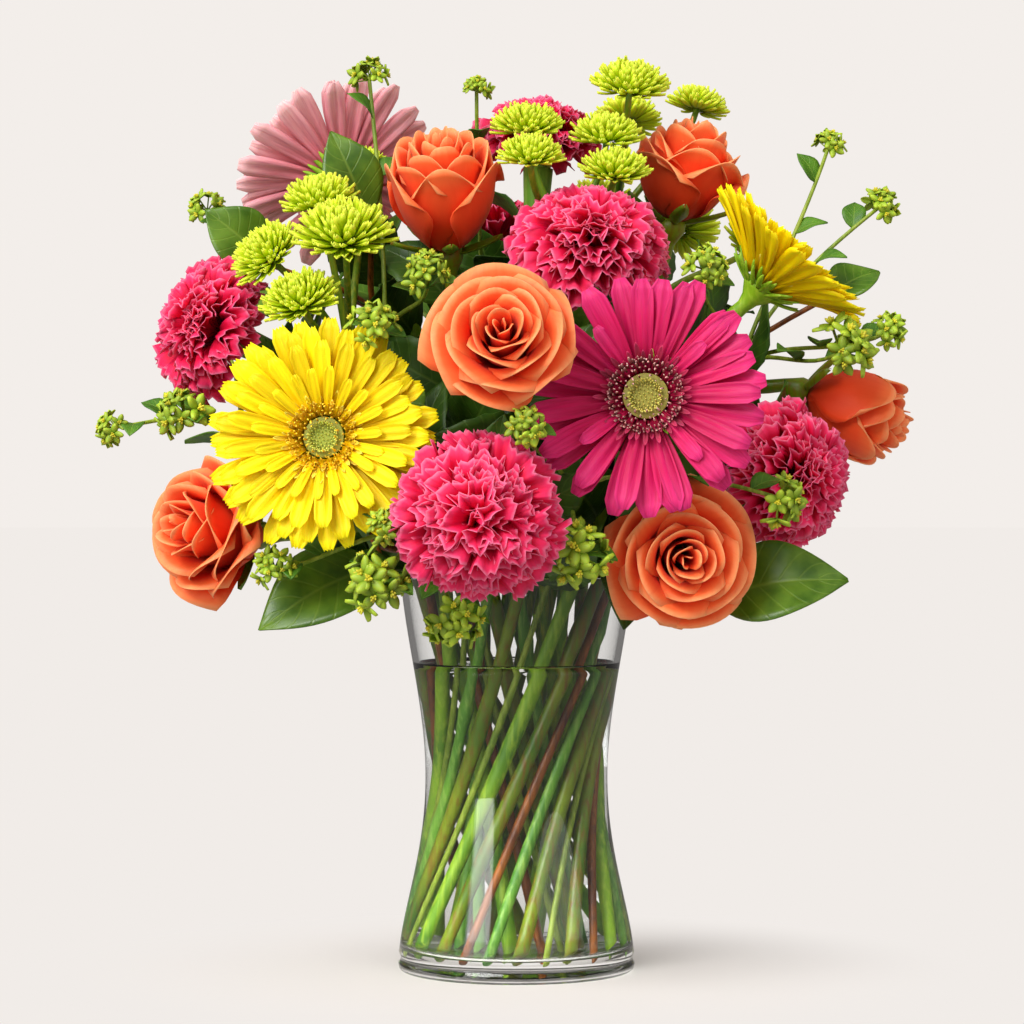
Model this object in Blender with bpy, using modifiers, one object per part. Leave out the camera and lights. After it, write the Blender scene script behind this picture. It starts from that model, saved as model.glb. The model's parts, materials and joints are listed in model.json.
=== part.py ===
"""A mixed bouquet of gerberas, roses, carnations, button chrysanthemums and greenery in a flared glass vase.

Metres, +Z up. The origin is the centre of the vase's foot, where it rests on the table. +X is to the right
and -Y is the bouquet's front. Every piece is one named object, and the bouquet has no moving parts.

The stems stand in two nested rings that are narrowest at the vase's waist. All the stems of a ring lean the
same way round, and the inner ring leans against the outer one, so that they cross but none touches another.
"""

import math

import bmesh
import bpy
from mathutils import Matrix, Vector

# ---- Driving dimensions -------------------------------------------------------------------------------
VASE_HEIGHT = 0.178
GLASS_FLOOR = 0.006
GLASS_WALL = 0.0028
WAIST_HEIGHT = 0.088
# Height and outer radius of the vase where its flank changes its curve.
VASE_FLANK = [(0.004, 0.0577), (0.019, 0.0520), (0.043, 0.0458), (0.072, 0.0417),
              (0.088, 0.0411), (0.106, 0.0418), (0.142, 0.0473), (0.178, 0.0530)]
FOOT_RADIUS = 0.0545
VASE_SEGMENTS = 36

FLOOR_FILLET = 0.004
WALL_START = 0.006  # above the floor: from here up the inside follows the outside
RIM_ROUNDING = 0.0007
FLOOR_SPREAD = 0.001  # by which the floor is wider than the wall above it

GAP = 0.0004  # between pieces that would touch
WELD = 1e-5
TUBE_SIDES_LEVEL = 1  # bevel resolution: six sides
LEAF_THICKNESS = 0.0011
LEAF_GRIP = 0.004  # how far a leaf's twig runs into its blade
PETAL_THICKNESS = 0.0014

# Bends, as shares of the distance that they cross.
STEM_BEND = 0.42
TWIG_BEND = 0.35
TWIG_WIDTH = 0.72  # of its stem's
STEM_SPACE = 0.0012  # between neighbours at the waist
CALYX_EASE = 0.004  # of plain stem before the calyx widens

# Height as a share of the radius, and segments round, of the two kinds of round end.
BUTTON_SHAPE = (1.15, 10)
TUFT_SHAPE = (1.2, 8)

# Each ring of stems: distance from the axis at the waist, sideways lean per unit of height (negative is
# clockwise from above), and the height where its stems leave the straight and bend to their blooms.
RINGS = {
    "outer": {"radius": 0.0265, "lean": 0.40, "bend_height": 0.180},
    "inner": {"radius": 0.0140, "lean": -0.22, "bend_height": 0.190},
}

# Stem radius of each kind, and how the top of its stem widens into the calyx: distance below the bloom, and
# width as a multiple of the stem's.
STEMS = {
    "gerbera": {"radius": 0.0032, "calyx": [(0.012, 1.0), (0.006, 2.2), (0.0, 3.4)]},
    "rose": {"radius": 0.0030, "calyx": [(0.012, 1.0), (0.008, 1.7), (0.0, 2.1)]},
    "carnation": {"radius": 0.0023, "calyx": [(0.028, 1.0), (0.024, 2.3), (0.0, 3.0)]},
    "button": {"radius": 0.0023, "calyx": []},
    "thorow_wax": {"radius": 0.0014, "calyx": []},
    "leaf": {"radius": 0.0019, "calyx": []},
}

# ---- The arrangement ----------------------------------------------------------------------------------
# name: kind, ring, place of the bloom's base, the way it faces, bloom radius, bloom height. Millimetres.
BLOOMS = {
    "gerbera_yellow_front": ("gerbera", "outer", (-80, -110, 238), (-0.15, -0.98, 0.10), 50, 8),
    "gerbera_pink_front": ("gerbera", "outer", (54, -120, 255), (-0.12, -0.98, 0.10), 51, 6),
    "gerbera_yellow_side": ("gerbera", "inner", (107, -45, 305), (0.68, -0.05, 0.73), 48, 20),
    "gerbera_pale_pink": ("gerbera", "inner", (-79, 30, 357), (-0.35, 0.75, 0.55), 49, 10),
    "gerbera_pink_rear": ("gerbera", "outer", (42, 118, 276), (0.20, 0.93, 0.28), 50, 8),
    "rose_crown": ("rose", "inner", (-30, -39, 322), (-0.08, -0.42, 0.90), 31, 56),
    "rose_centre": ("rose", "outer", (-5, -127, 273), (-0.03, -0.96, 0.27), 31, 44),
    "rose_low_right": ("rose", "outer", (67, -82, 189), (0.12, -0.98, -0.05), 33, 44),
    "rose_low_left": ("rose", "outer", (-114, -63, 197), (-0.70, -0.68, 0.10), 32, 50),
    "rose_right": ("rose", "outer", (131, -3, 259), (0.90, -0.20, -0.35), 26, 48),
    "rose_top_right": ("rose", "inner", (71, 9, 338), (0.25, -0.15, 0.95), 29, 48),
    "rose_rear_left": ("rose", "outer", (-66, 98, 250), (-0.45, 0.88, 0.15), 32, 46),
    "rose_rear_right": ("rose", "outer", (100, 66, 222), (0.72, 0.68, 0.05), 31, 46),
    "carnation_upper": ("carnation", "inner", (30, -64, 310), (0.10, -0.62, 0.78), 34, 40),
    "carnation_low": ("carnation", "outer", (-16, -132, 204), (0.0, -0.99, 0.10), 35, 40),
    "carnation_left": ("carnation", "outer", (-122, -38, 282), (-0.82, -0.45, 0.35), 32, 38),
    "carnation_right": ("carnation", "outer", (108, -46, 222), (0.76, -0.64, -0.10), 33, 38),
    "carnation_top": ("carnation", "inner", (10, 34, 363), (0.05, 0.02, 1.0), 30, 36),
    "carnation_rear_low": ("carnation", "outer", (-6, 112, 205), (-0.05, 1.0, 0.03), 34, 38),
    "carnation_rear_high": ("carnation", "inner", (-8, 84, 316), (-0.10, 0.70, 0.70), 34, 38),
}

# Leaves that grow from a bloom's own stem: foot, tip, width and the way the upper side faces. Millimetres.
STEM_LEAVES = {
    "rose_low_right": [((50, -38, 192.5), (46, -86, 157), 30, (0.1, -0.90, 0.40))],
}

# Branching stems. name: ring, where the stem forks, and its ends. A button end is its place, the way it
# faces and its radius; a tuft end is the same; a leaf end is its foot, its tip, its width and the way its
# upper side faces. Millimetres.
BUTTON_SPRAYS = {
    "button_spray_left": ("outer", (-72, -38, 262), [
        ((-73, -95, 326), (-0.05, -0.50, 0.86), 19),
        ((-108, -75, 318), (-0.60, -0.50, 0.60), 15),
        ((-86, -58, 343), (-0.20, -0.30, 0.93), 15),
        ((-92, -96, 298), (-0.25, -0.55, 0.80), 15),
        ((-68, -2, 364), (0.0, -0.30, 0.95), 9),
    ]),
    "button_spray_centre": ("inner", (22, -12, 312), [
        ((5, -18, 379), (0.0, -0.25, 0.97), 14.5),
        ((6, -70, 361), (0.0, -0.35, 0.94), 13),
        ((40, -22, 374), (0.05, -0.25, 0.97), 15),
        ((43, -42, 357), (0.05, -0.35, 0.94), 14),
    ]),
    "button_spray_right": ("inner", (44, 40, 330), [
        ((51, -8, 398), (0.10, -0.35, 0.93), 16),
        ((84, 44, 394), (0.25, 0.10, 0.96), 13),
        ((52, 66, 390), (0.05, 0.45, 0.90), 14),
    ]),
    "button_spray_rear": ("inner", (62, 56, 296), [
        ((78, 92, 342), (0.30, 0.60, 0.74), 17),
        ((40, 92, 352), (0.05, 0.55, 0.83), 15),
        ((112, 58, 330), (0.70, 0.40, 0.60), 15),
    ]),
}

THOROW_WAX = {
    "thorow_wax_left": ("outer", (-118, -30, 236), [
        ((-146, -66, 250), (-0.60, -0.60, 0.50), 12),
        ((-176, -62, 243), (-0.85, -0.40, -0.10), 8),
        ((-140, -10, 343), (-0.60, -0.20, 0.77), 9),
        ((-150, 40, 290), (-0.85, 0.35, 0.40), 12),
    ]),
    "thorow_wax_low_left": ("outer", (-38, -84, 196), [
        ((-58, -130, 178), (-0.20, -0.95, 0.20), 14),
        ((-27, -104, 160), (0.0, -0.75, -0.65), 12),
        ((-54, -144, 202), (-0.10, -0.95, 0.30), 8),
        ((-103, -106, 184), (-0.40, -0.88, 0.20), 9),
    ]),
    "thorow_wax_low_right": ("outer", (20, -72, 208), [
        ((26, -128, 190), (0.10, -0.95, 0.20), 14),
        ((4, -154, 243), (0.20, -0.93, 0.35), 9),
        ((113, -108, 212), (0.60, -0.45, -0.20), 11),
    ]),
    "thorow_wax_centre": ("inner", (-58, -34, 276), [
        ((-38, -108, 309), (-0.10, -0.70, 0.70), 10),
        ((-60, -128, 286), (-0.10, -0.80, 0.60), 10),
        ((-66, -10, 402), (-0.10, 0.0, 1.0), 9),
    ]),
    "thorow_wax_right": ("outer", (98, 16, 262), [
        ((81, -86, 312), (0.15, -0.75, 0.65), 10),
        ((143, -62, 278), (0.55, -0.70, 0.45), 14),
        ((164, -42, 286), (0.80, -0.40, 0.45), 9),
        ((143, 24, 374), (0.30, -0.20, 0.93), 8),
        ((167, 22, 346), (0.75, -0.20, 0.60), 9),
    ]),
    "thorow_wax_rear": ("outer", (-14, 84, 250), [
        ((-50, 142, 205), (-0.30, 0.93, 0.10), 13),
        ((-14, 138, 262), (-0.10, 0.95, 0.30), 13),
        ((-18, 6, 398), (0.0, -0.20, 1.0), 7),
        ((-60, 120, 318), (-0.35, 0.75, 0.55), 12),
        ((66, 112, 206), (0.35, 0.92, 0.10), 13),
    ]),
}

LEAF_SPRAYS = {
    "leaf_spray_right": ("outer", (84, -44, 190), [
        ((84, -76, 170), (141, -88, 178), 38, (0.0, -0.85, 0.50)),
        ((66, -58, 262), (92, -82, 246), 26, (-0.2, -0.85, 0.40)),
    ]),
    "leaf_spray_left": ("outer", (-66, -48, 198), [
        ((-58, -72, 184), (-109, -96, 157), 38, (-0.10, -0.85, 0.50)),
        ((-112, 14, 226), (-152, 30, 238), 38, (-0.20, 0.20, 0.96)),
        ((-58, -70, 256), (-44, -100, 242), 28, (0.1, -0.85, 0.50)),
    ]),
    "leaf_spray_upper_left": ("inner", (-62, -2, 292), [
        ((-66, -27, 337), (-82, -31, 374), 27, (0.1, -0.95, 0.25)),
        ((-112, -14, 318), (-138, -22, 340), 28, (-0.3, -0.80, 0.50)),
        ((-112, 44, 296), (-148, 74, 308), 34, (-0.5, 0.30, 0.80)),
    ]),
    "leaf_spray_rear": ("outer", (26, 66, 190), [
        ((48, 98, 190), (84, 138, 178), 38, (0.2, 0.60, 0.75)),
        ((-44, 94, 184), (-88, 128, 174), 38, (-0.3, 0.60, 0.75)),
        ((143, 26, 304), (167, 36, 316), 24, (-0.30, -0.70, 0.60)),
    ]),
}


# ---- Scene and placing --------------------------------------------------------------------------------
def clear_scene():
    for obj in list(bpy.data.objects):
        bpy.data.objects.remove(obj, do_unlink=True)


def collection_named(name, hidden=False):
    found = bpy.data.collections.new(name)
    bpy.context.scene.collection.children.link(found)
    found.hide_render = hidden
    return found


def material(name, colour, roughness, alpha=1.0):
    made = bpy.data.materials.new(name)
    made.use_nodes = True
    shader = made.node_tree.nodes["Principled BSDF"]
    shader.inputs["Base Color"].default_value = (*colour, 1.0)
    shader.inputs["Roughness"].default_value = roughness
    shader.inputs["Alpha"].default_value = alpha
    return made


def metres(point):
    return Vector(point) / 1000.0


def facing_matrix(place, facing):
    """A frame whose +Z points the way a bloom faces, with its origin at the bloom's base."""
    turn = Vector(facing).normalized().to_track_quat("Z", "Y").to_matrix().to_4x4()
    return Matrix.Translation(place) @ turn


def object_of(name, data, into, finish, matrix=None):
    obj = bpy.data.objects.new(name, data)
    into.objects.link(obj)
    if finish:
        obj.data.materials.append(finish)
    if matrix:
        obj.matrix_world = matrix
    return obj


def mesh_from(obj, into):
    """The evaluated object as a plain mesh object in the same place, with loose caps welded."""
    bpy.context.view_layer.update()
    graph = bpy.context.evaluated_depsgraph_get()
    mesh = bpy.data.meshes.new_from_object(obj.evaluated_get(graph))
    work = bmesh.new()
    work.from_mesh(mesh)
    bmesh.ops.remove_doubles(work, verts=work.verts, dist=WELD)
    bmesh.ops.recalc_face_normals(work, faces=work.faces)
    work.to_mesh(mesh)
    work.free()
    name, place = obj.name, obj.matrix_world.copy()
    bpy.data.objects.remove(obj, do_unlink=True)
    made = bpy.data.objects.new(name, mesh)
    into.objects.link(made)
    made.matrix_world = place
    return made


# ---- Shapes -------------------------------------------------------------------------------------------
def cubic(p0, p1, p2, p3, t):
    """A point on the curve that leaves p0 towards p1 and reaches p3 from p2."""
    s = 1.0 - t
    return p0 * s**3 + p1 * (3 * s * s * t) + p2 * (3 * s * t * t) + p3 * t**3


def smooth_profile(points, steps):
    """Heights and radii on a smooth line through the given ones (Catmull-Rom)."""
    line = [Vector(points[0])] + [Vector(p) for p in points] + [Vector(points[-1])]
    made = []
    for i in range(1, len(line) - 2):
        before, a, b, after = line[i - 1:i + 3]
        for k in range(steps):
            t = k / steps
            made.append(0.5 * (2 * a + (b - before) * t + (2 * before - 5 * a + 4 * b - after) * t * t
                               + (3 * a - before - 3 * b + after) * t**3))
    made.append(line[-1])
    return made


def turned(name, profile, segments, into, finish, matrix=None):
    """A solid of revolution about local Z. The profile is (radius, height), down the outer side."""
    mesh = bpy.data.meshes.new(name)
    mesh.from_pydata([(r, 0.0, z) for r, z in profile], [(i, i + 1) for i in range(len(profile) - 1)], [])
    obj = object_of(name, mesh, into, finish, matrix)
    screw = obj.modifiers.new("Screw", "SCREW")
    screw.steps = screw.render_steps = segments
    screw.use_merge_vertices = True
    screw.merge_threshold = 0.0001
    return obj


def tube(name, points, radius, into, finish, widths=None):
    """A round stem along the points; widths are multiples of its radius."""
    curve = bpy.data.curves.new(name, "CURVE")
    curve.dimensions = "3D"
    curve.bevel_depth = radius
    curve.bevel_resolution = TUBE_SIDES_LEVEL
    curve.use_fill_caps = True
    spline = curve.splines.new("POLY")
    spline.points.add(len(points) - 1)
    for i, (slot, point) in enumerate(zip(spline.points, points)):
        slot.co = (*point, 1.0)
        slot.radius = widths[i] if widths else 1.0
    return object_of(name, curve, into, finish)


def ellipsoid(name, place, facing, radius, height, segments, into):
    """A flattened ball that stands for a button bloom or a tuft of florets."""
    work = bmesh.new()
    bmesh.ops.create_uvsphere(work, u_segments=segments, v_segments=max(4, segments // 2), radius=1.0)
    mesh = bpy.data.meshes.new(name)
    shape = Matrix.Diagonal((radius, radius, height / 2, 1.0))
    bmesh.ops.transform(work, matrix=facing_matrix(place, facing) @ shape, verts=work.verts)
    work.to_mesh(mesh)
    work.free()
    return object_of(name, mesh, into, None)


def leaf_blade(name, foot, tip, width, upper, into):
    """A pointed oval blade from a flat grid, arched along its length and folded a little on its midrib."""
    length_steps, width_steps, arch, fold = 6, 2, 0.10, 0.16
    along = tip - foot
    side = along.cross(upper).normalized()
    up = side.cross(along).normalized()
    work = bmesh.new()
    bmesh.ops.create_grid(work, x_segments=length_steps, y_segments=width_steps, size=0.5)
    for vert in work.verts:
        t, across = vert.co.x + 0.5, vert.co.y * 2
        half = max(0.06, math.sin(math.pi * t ** 0.85) ** 0.8) * width / 2
        rise = arch * along.length * math.sin(math.pi * t) + fold * half * abs(across)
        vert.co = foot + along * t + side * (across * half) + up * rise
    mesh = bpy.data.meshes.new(name)
    work.to_mesh(mesh)
    work.free()
    blade = object_of(name, mesh, into, None)
    thick = blade.modifiers.new("Solidify", "SOLIDIFY")
    thick.thickness = LEAF_THICKNESS
    thick.offset = 0.0
    return mesh_from(blade, into)


def joined(name, pieces, into, finish):
    """One closed body from pieces that run into each other."""
    body = pieces[0]
    for other in pieces[1:]:
        union = body.modifiers.new("Union", "BOOLEAN")
        union.operation = "UNION"
        union.use_self = True
        union.object = other
    body.name = name
    made = mesh_from(body, into)
    for other in pieces[1:]:
        bpy.data.objects.remove(other, do_unlink=True)
    made.data.materials.clear()
    made.data.materials.append(finish)
    return made


# ---- The vase -----------------------------------------------------------------------------------------
def make_vase(into, finish):
    """One closed line, turned: out along the floor, up the inside, over the rim and down the outside."""
    outside = [(r, z) for z, r in smooth_profile(VASE_FLANK, 2)]
    inside = [(r - GLASS_WALL, z) for r, z in outside if z > GLASS_FLOOR + WALL_START]
    corner = inside[0][0] + FLOOR_SPREAD
    rim = VASE_FLANK[-1][1]
    profile = [(0.0, GLASS_FLOOR), (corner - FLOOR_FILLET, GLASS_FLOOR), (corner, GLASS_FLOOR + FLOOR_FILLET)]
    profile += inside[:-1]
    profile += [(rim - GLASS_WALL, VASE_HEIGHT - RIM_ROUNDING), (rim - GLASS_WALL / 2, VASE_HEIGHT),
                (rim, VASE_HEIGHT - RIM_ROUNDING)]
    profile += outside[-2::-1]
    profile += [(FOOT_RADIUS, 0.0), (0.0, 0.0)]
    return turned("vase", profile, VASE_SEGMENTS, into, finish)


# ---- The spiral of stems --------------------------------------------------------------------------------
def bearing(point):
    return math.atan2(point[1], point[0])


def waist_angles(members, ring):
    """Where each stem of a ring passes the waist: in the order of their blooms round the vase, each with
    room for its own thickness, and turned as a whole so that the stems bend as little as they can."""
    lean, radius, top = RINGS[ring]["lean"], RINGS[ring]["radius"], RINGS[ring]["bend_height"]
    swing = math.atan2(lean * (top - WAIST_HEIGHT), radius)
    members = sorted(members, key=lambda m: bearing(m["base"]))
    widths = [STEMS[m["kind"]]["radius"] * 2 + STEM_SPACE for m in members]
    share = 2 * math.pi / sum(widths)
    angles, walked = [], 0.0
    for width in widths:
        angles.append((walked + width / 2) * share)
        walked += width
    misses = [bearing(m["base"]) - a - swing for m, a in zip(members, angles)]
    turn = math.atan2(sum(map(math.sin, misses)), sum(map(math.cos, misses)))
    return {m["name"]: angle + turn for m, angle in zip(members, angles)}


def stem_route(ring, angle, radius, base, facing, bend_points=7):
    """Straight up from the vase's floor to the mouth, then one bend that arrives along the bloom's axis."""
    rule = RINGS[ring]
    out = Vector((math.cos(angle), math.sin(angle), 0.0))
    around = Vector((-math.sin(angle), math.cos(angle), 0.0))
    slope = around * rule["lean"] + Vector((0.0, 0.0, 1.0))

    def on_rule(height):
        return out * rule["radius"] + slope * (height - WAIST_HEIGHT) + Vector((0.0, 0.0, WAIST_HEIGHT))

    foot = on_rule(GLASS_FLOOR + radius * abs(rule["lean"]) + 2 * GAP)
    mouth = on_rule(rule["bend_height"])
    reach = (base - mouth).length * STEM_BEND
    leave, arrive = mouth + slope.normalized() * reach, base - facing * reach
    bend = [cubic(mouth, leave, arrive, base, k / bend_points) for k in range(bend_points + 1)]
    return [foot, on_rule(WAIST_HEIGHT), *bend]


def shortened(points, cut):
    """The route without its last stretch of the given length, which the calyx takes."""
    points = list(points)
    while len(points) > 2 and (points[-1] - points[-2]).length <= cut:
        cut -= (points[-1] - points[-2]).length
        points.pop()
    last = points[-1] - points[-2]
    points[-1] = points[-1] - last.normalized() * cut
    return points


def bloom_stem(member, angle, into, finish):
    """A stem whose top widens into the bloom's calyx."""
    kind = STEMS[member["kind"]]
    facing = member["facing"]
    route = stem_route(member["ring"], angle, kind["radius"], member["base"], facing)
    start = kind["calyx"][0][0]
    points = shortened(route, start + CALYX_EASE)
    widths = [1.0] * len(points)
    for below, width in kind["calyx"]:
        points.append(member["base"] - facing * below)
        widths.append(width)
    return tube(member["name"] + "_stem", points, kind["radius"], into, finish, widths)


# ---- Blooms -------------------------------------------------------------------------------------------
def gerbera_petals(name, matrix, radius, rise, into, finish):
    """A thin dish that lifts from the eye outwards, notched at its edge between the petals."""
    petals, eye, notch = 16, 0.30, 0.12
    upper = [(share * radius, rise * ((share - eye) / (1 - eye)) ** 1.2) for share in (1.0, 0.65, eye)]
    top = PETAL_THICKNESS + GAP
    profile = [(0.0, top), *[(r, z + top) for r, z in reversed(upper)]]
    profile += [*[(r, z + GAP) for r, z in upper], (0.0, GAP)]
    dish = mesh_from(turned(name, profile, petals * 2, into, None), into)
    for vert in dish.data.vertices:
        if vert.co.xy.length > 0.9 * radius:
            vert.co.xy *= 1 - notch * (0.5 - 0.5 * math.cos(petals * math.atan2(vert.co.y, vert.co.x)))
    dish.data.materials.append(finish)
    dish.matrix_world = matrix
    return dish


def gerbera_disc(name, matrix, radius, into, finish):
    """The low dome of tiny florets in the middle."""
    base, top = PETAL_THICKNESS + 2 * GAP, 0.0070
    edge = radius * 0.27
    profile = [(0.0, top - 0.0008), (edge * 0.5, top), (edge, base + 0.002), (edge * 0.9, base), (0.0, base)]
    return turned(name, profile, 12, into, finish, matrix)


def rose_bloom(name, matrix, radius, height, into, finish):
    """A cupped rose: full low down, drawn in a little at the lip, hollow in the middle."""
    shape = [(0.0, 0.90), (0.30, 0.96), (0.60, 1.0), (0.84, 0.86), (1.0, 0.52), (0.86, 0.26),
             (0.55, 0.09), (0.18, 0.0), (0.0, 0.0)]
    profile = [(r * radius, h * height + GAP) for r, h in shape]
    return turned(name, profile, 12, into, finish, matrix)


def carnation_bloom(name, matrix, radius, height, into, finish):
    """A ruffled dome: the frilled rim stands out and in by turns."""
    ruffles, depth = 7, 0.06
    shape = [(0.0, 0.96), (0.45, 1.0), (0.80, 0.84), (1.0, 0.58), (0.86, 0.36), (0.40, 0.12),
             (0.16, 0.0), (0.0, 0.0)]
    profile = [(r * radius, h * height + GAP) for r, h in shape]
    dome = mesh_from(turned(name, profile, ruffles * 2, into, None), into)
    for vert in dome.data.vertices:
        wave = math.cos(ruffles * math.atan2(vert.co.y, vert.co.x))
        vert.co.xy *= 1 + depth * wave * vert.co.xy.length / radius
    dome.data.materials.append(finish)
    dome.matrix_world = matrix
    return dome


def make_bloom(member, into, finishes):
    name, matrix = member["name"], facing_matrix(member["base"], member["facing"])
    radius, height = member["radius"], member["height"]
    if member["kind"] == "gerbera":
        shade = next(c for c in ("yellow", "pale_pink", "pink") if c in name)
        gerbera_petals(name + "_petals", matrix, radius, height, into, finishes["gerbera_" + shade])
        gerbera_disc(name + "_disc", matrix, radius, into, finishes["gerbera_eye"])
    elif member["kind"] == "rose":
        rose_bloom(name + "_bloom", matrix, radius, height, into, finishes["rose"])
    else:
        carnation_bloom(name + "_bloom", matrix, radius, height, into, finishes["carnation"])


# ---- Branching stems ----------------------------------------------------------------------------------
def branch(name, fork, trunk, end, arrive, radius, into):
    """A side stem that starts inside the fork and bends to its end."""
    reach = (end - fork).length * TWIG_BEND
    start = fork - trunk * radius
    points = [cubic(start, fork + trunk * reach, end - arrive * reach, end, k / 5) for k in range(6)]
    return mesh_from(tube(name, points, radius, into, None), into)


def make_spray(member, angle, into, finish):
    """A stem that forks at its base point into one twig for each of its ends."""
    kind = STEMS[member["kind"]]
    fork, name = member["base"], member["name"]
    middle = sum((end["place"] for end in member["ends"]), Vector()) / len(member["ends"])
    heading = (middle - fork).normalized()
    rise = (heading + Vector((0.0, 0.0, 1.0))).normalized()
    route = stem_route(member["ring"], angle, kind["radius"], fork, rise, 5)
    pieces = [mesh_from(tube(name, route, kind["radius"], into, None), into)]
    twig = kind["radius"] * TWIG_WIDTH
    for i, end in enumerate(member["ends"]):
        pieces.append(branch(f"{name}_twig_{i}", fork, rise, end["foot"], end["arrive"], twig, into))
        pieces.append(end["shape"](f"{name}_end_{i}", into))
    return joined(name, pieces, into, finish)


def round_end(place, facing, radius, shape_rule):
    """A button bloom or a tuft: a flattened ball with its stem run well into it."""
    facing = Vector(facing).normalized()
    place = metres(place)
    flatness, segments = shape_rule
    height = radius / 1000 * flatness

    def shape(name, into):
        return ellipsoid(name, place, facing, radius / 1000, height, segments, into)

    return {"place": place, "foot": place - facing * height * 0.15, "arrive": facing, "shape": shape}


def leaf_end(foot, tip, width, upper):
    """A leaf with its twig run a little way into the blade."""
    foot, tip, upper = metres(foot), metres(tip), Vector(upper).normalized()
    along = (tip - foot).normalized()

    def shape(name, into):
        return leaf_blade(name, foot, tip, width, upper, into)

    return {"place": tip, "foot": foot + along * LEAF_GRIP, "arrive": along, "shape": shape}


def spray_members():
    made = []
    for name, (ring, fork, ends) in BUTTON_SPRAYS.items():
        shapes = [round_end(p, f, r, BUTTON_SHAPE) for p, f, r in ends]
        made.append({"name": name, "kind": "button", "ring": ring, "base": metres(fork), "ends": shapes})
    for name, (ring, fork, ends) in THOROW_WAX.items():
        shapes = [round_end(p, f, r, TUFT_SHAPE) for p, f, r in ends]
        made.append({"name": name, "kind": "thorow_wax", "ring": ring, "base": metres(fork), "ends": shapes})
    for name, (ring, fork, ends) in LEAF_SPRAYS.items():
        shapes = [leaf_end(f, t, w / 1000, u) for f, t, w, u in ends]
        made.append({"name": name, "kind": "leaf", "ring": ring, "base": metres(fork), "ends": shapes})
    return made


def bloom_members():
    made = []
    for name, (kind, ring, place, facing, radius, height) in BLOOMS.items():
        made.append({"name": name, "kind": kind, "ring": ring, "base": metres(place),
                     "facing": Vector(facing).normalized(), "radius": radius / 1000, "height": height / 1000})
    return made


def build():
    """The whole bouquet: the vase, then every bloom and every branching stem at its place on the spiral."""
    clear_scene()
    bouquet = collection_named("bouquet_in_vase")
    finishes = {
        "glass": material("glass", (0.90, 0.95, 0.95), 0.03, 0.35),
        "green": material("stem_green", (0.16, 0.32, 0.05), 0.55),
        "leaf": material("leaf_green", (0.07, 0.20, 0.02), 0.45),
        "button": material("button_green", (0.42, 0.62, 0.04), 0.65),
        "thorow_wax": material("thorow_wax_green", (0.26, 0.42, 0.05), 0.55),
        "rose": material("rose_orange", (0.86, 0.20, 0.07), 0.60),
        "carnation": material("carnation_pink", (0.74, 0.03, 0.15), 0.70),
        "gerbera_yellow": material("gerbera_yellow", (0.95, 0.72, 0.01), 0.55),
        "gerbera_pink": material("gerbera_pink", (0.72, 0.04, 0.22), 0.55),
        "gerbera_pale_pink": material("gerbera_pale_pink", (0.76, 0.25, 0.32), 0.55),
        "gerbera_eye": material("gerbera_eye", (0.50, 0.48, 0.12), 0.80),
    }
    make_vase(bouquet, finishes["glass"])
    blooms, sprays = bloom_members(), spray_members()
    angles = {}
    for ring in RINGS:
        angles.update(waist_angles([m for m in blooms + sprays if m["ring"] == ring], ring))
    for member in blooms:
        stem = bloom_stem(member, angles[member["name"]], bouquet, finishes["green"])
        leaves = [leaf_end(f, t, w / 1000, u) for f, t, w, u in STEM_LEAVES.get(member["name"], [])]
        if leaves:
            name, pieces = stem.name, [mesh_from(stem, bouquet)]
            pieces += [leaf["shape"](f"{name}_leaf_{i}", bouquet) for i, leaf in enumerate(leaves)]
            joined(name, pieces, bouquet, finishes["green"])
        make_bloom(member, bouquet, finishes)
    for member in sprays:
        make_spray(member, angles[member["name"]], bouquet, finishes[member["kind"]])


build()
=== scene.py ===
# %% [markdown]
# # A mixed bouquet in a flared glass vase
#
# The object is a hand-tied bouquet that stands in a clear vase: gerberas, roses, carnations, button
# chrysanthemums, thorow-wax and broad leaves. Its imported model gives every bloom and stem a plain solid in
# its true place. This lesson keeps those places and grows real petals, leaves, stems, glass and water there.
#
# The frame is loaded first, because every position below is worked out from it.

# %% Load the frame
import json
import math

import bmesh
import bpy
import numpy as np
from mathutils import Matrix, Vector

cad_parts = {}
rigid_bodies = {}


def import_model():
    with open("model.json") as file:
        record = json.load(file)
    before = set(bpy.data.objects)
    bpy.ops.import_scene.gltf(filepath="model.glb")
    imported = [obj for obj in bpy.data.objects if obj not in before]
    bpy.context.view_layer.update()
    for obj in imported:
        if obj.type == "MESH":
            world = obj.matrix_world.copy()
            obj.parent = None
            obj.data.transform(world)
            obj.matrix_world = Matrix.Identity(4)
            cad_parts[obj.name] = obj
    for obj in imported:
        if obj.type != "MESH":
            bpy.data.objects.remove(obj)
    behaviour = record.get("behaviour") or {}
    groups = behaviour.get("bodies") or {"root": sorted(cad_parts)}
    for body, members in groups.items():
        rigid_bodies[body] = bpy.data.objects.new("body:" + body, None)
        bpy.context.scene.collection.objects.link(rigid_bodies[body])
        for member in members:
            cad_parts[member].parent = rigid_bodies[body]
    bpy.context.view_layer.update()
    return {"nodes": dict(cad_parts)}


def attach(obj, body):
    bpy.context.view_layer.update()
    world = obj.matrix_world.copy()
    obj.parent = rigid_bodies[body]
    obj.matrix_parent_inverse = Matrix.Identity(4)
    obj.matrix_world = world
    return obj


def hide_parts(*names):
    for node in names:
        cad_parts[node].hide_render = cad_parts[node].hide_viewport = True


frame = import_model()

MM = 0.001
nodes = sorted(frame["nodes"])

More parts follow.
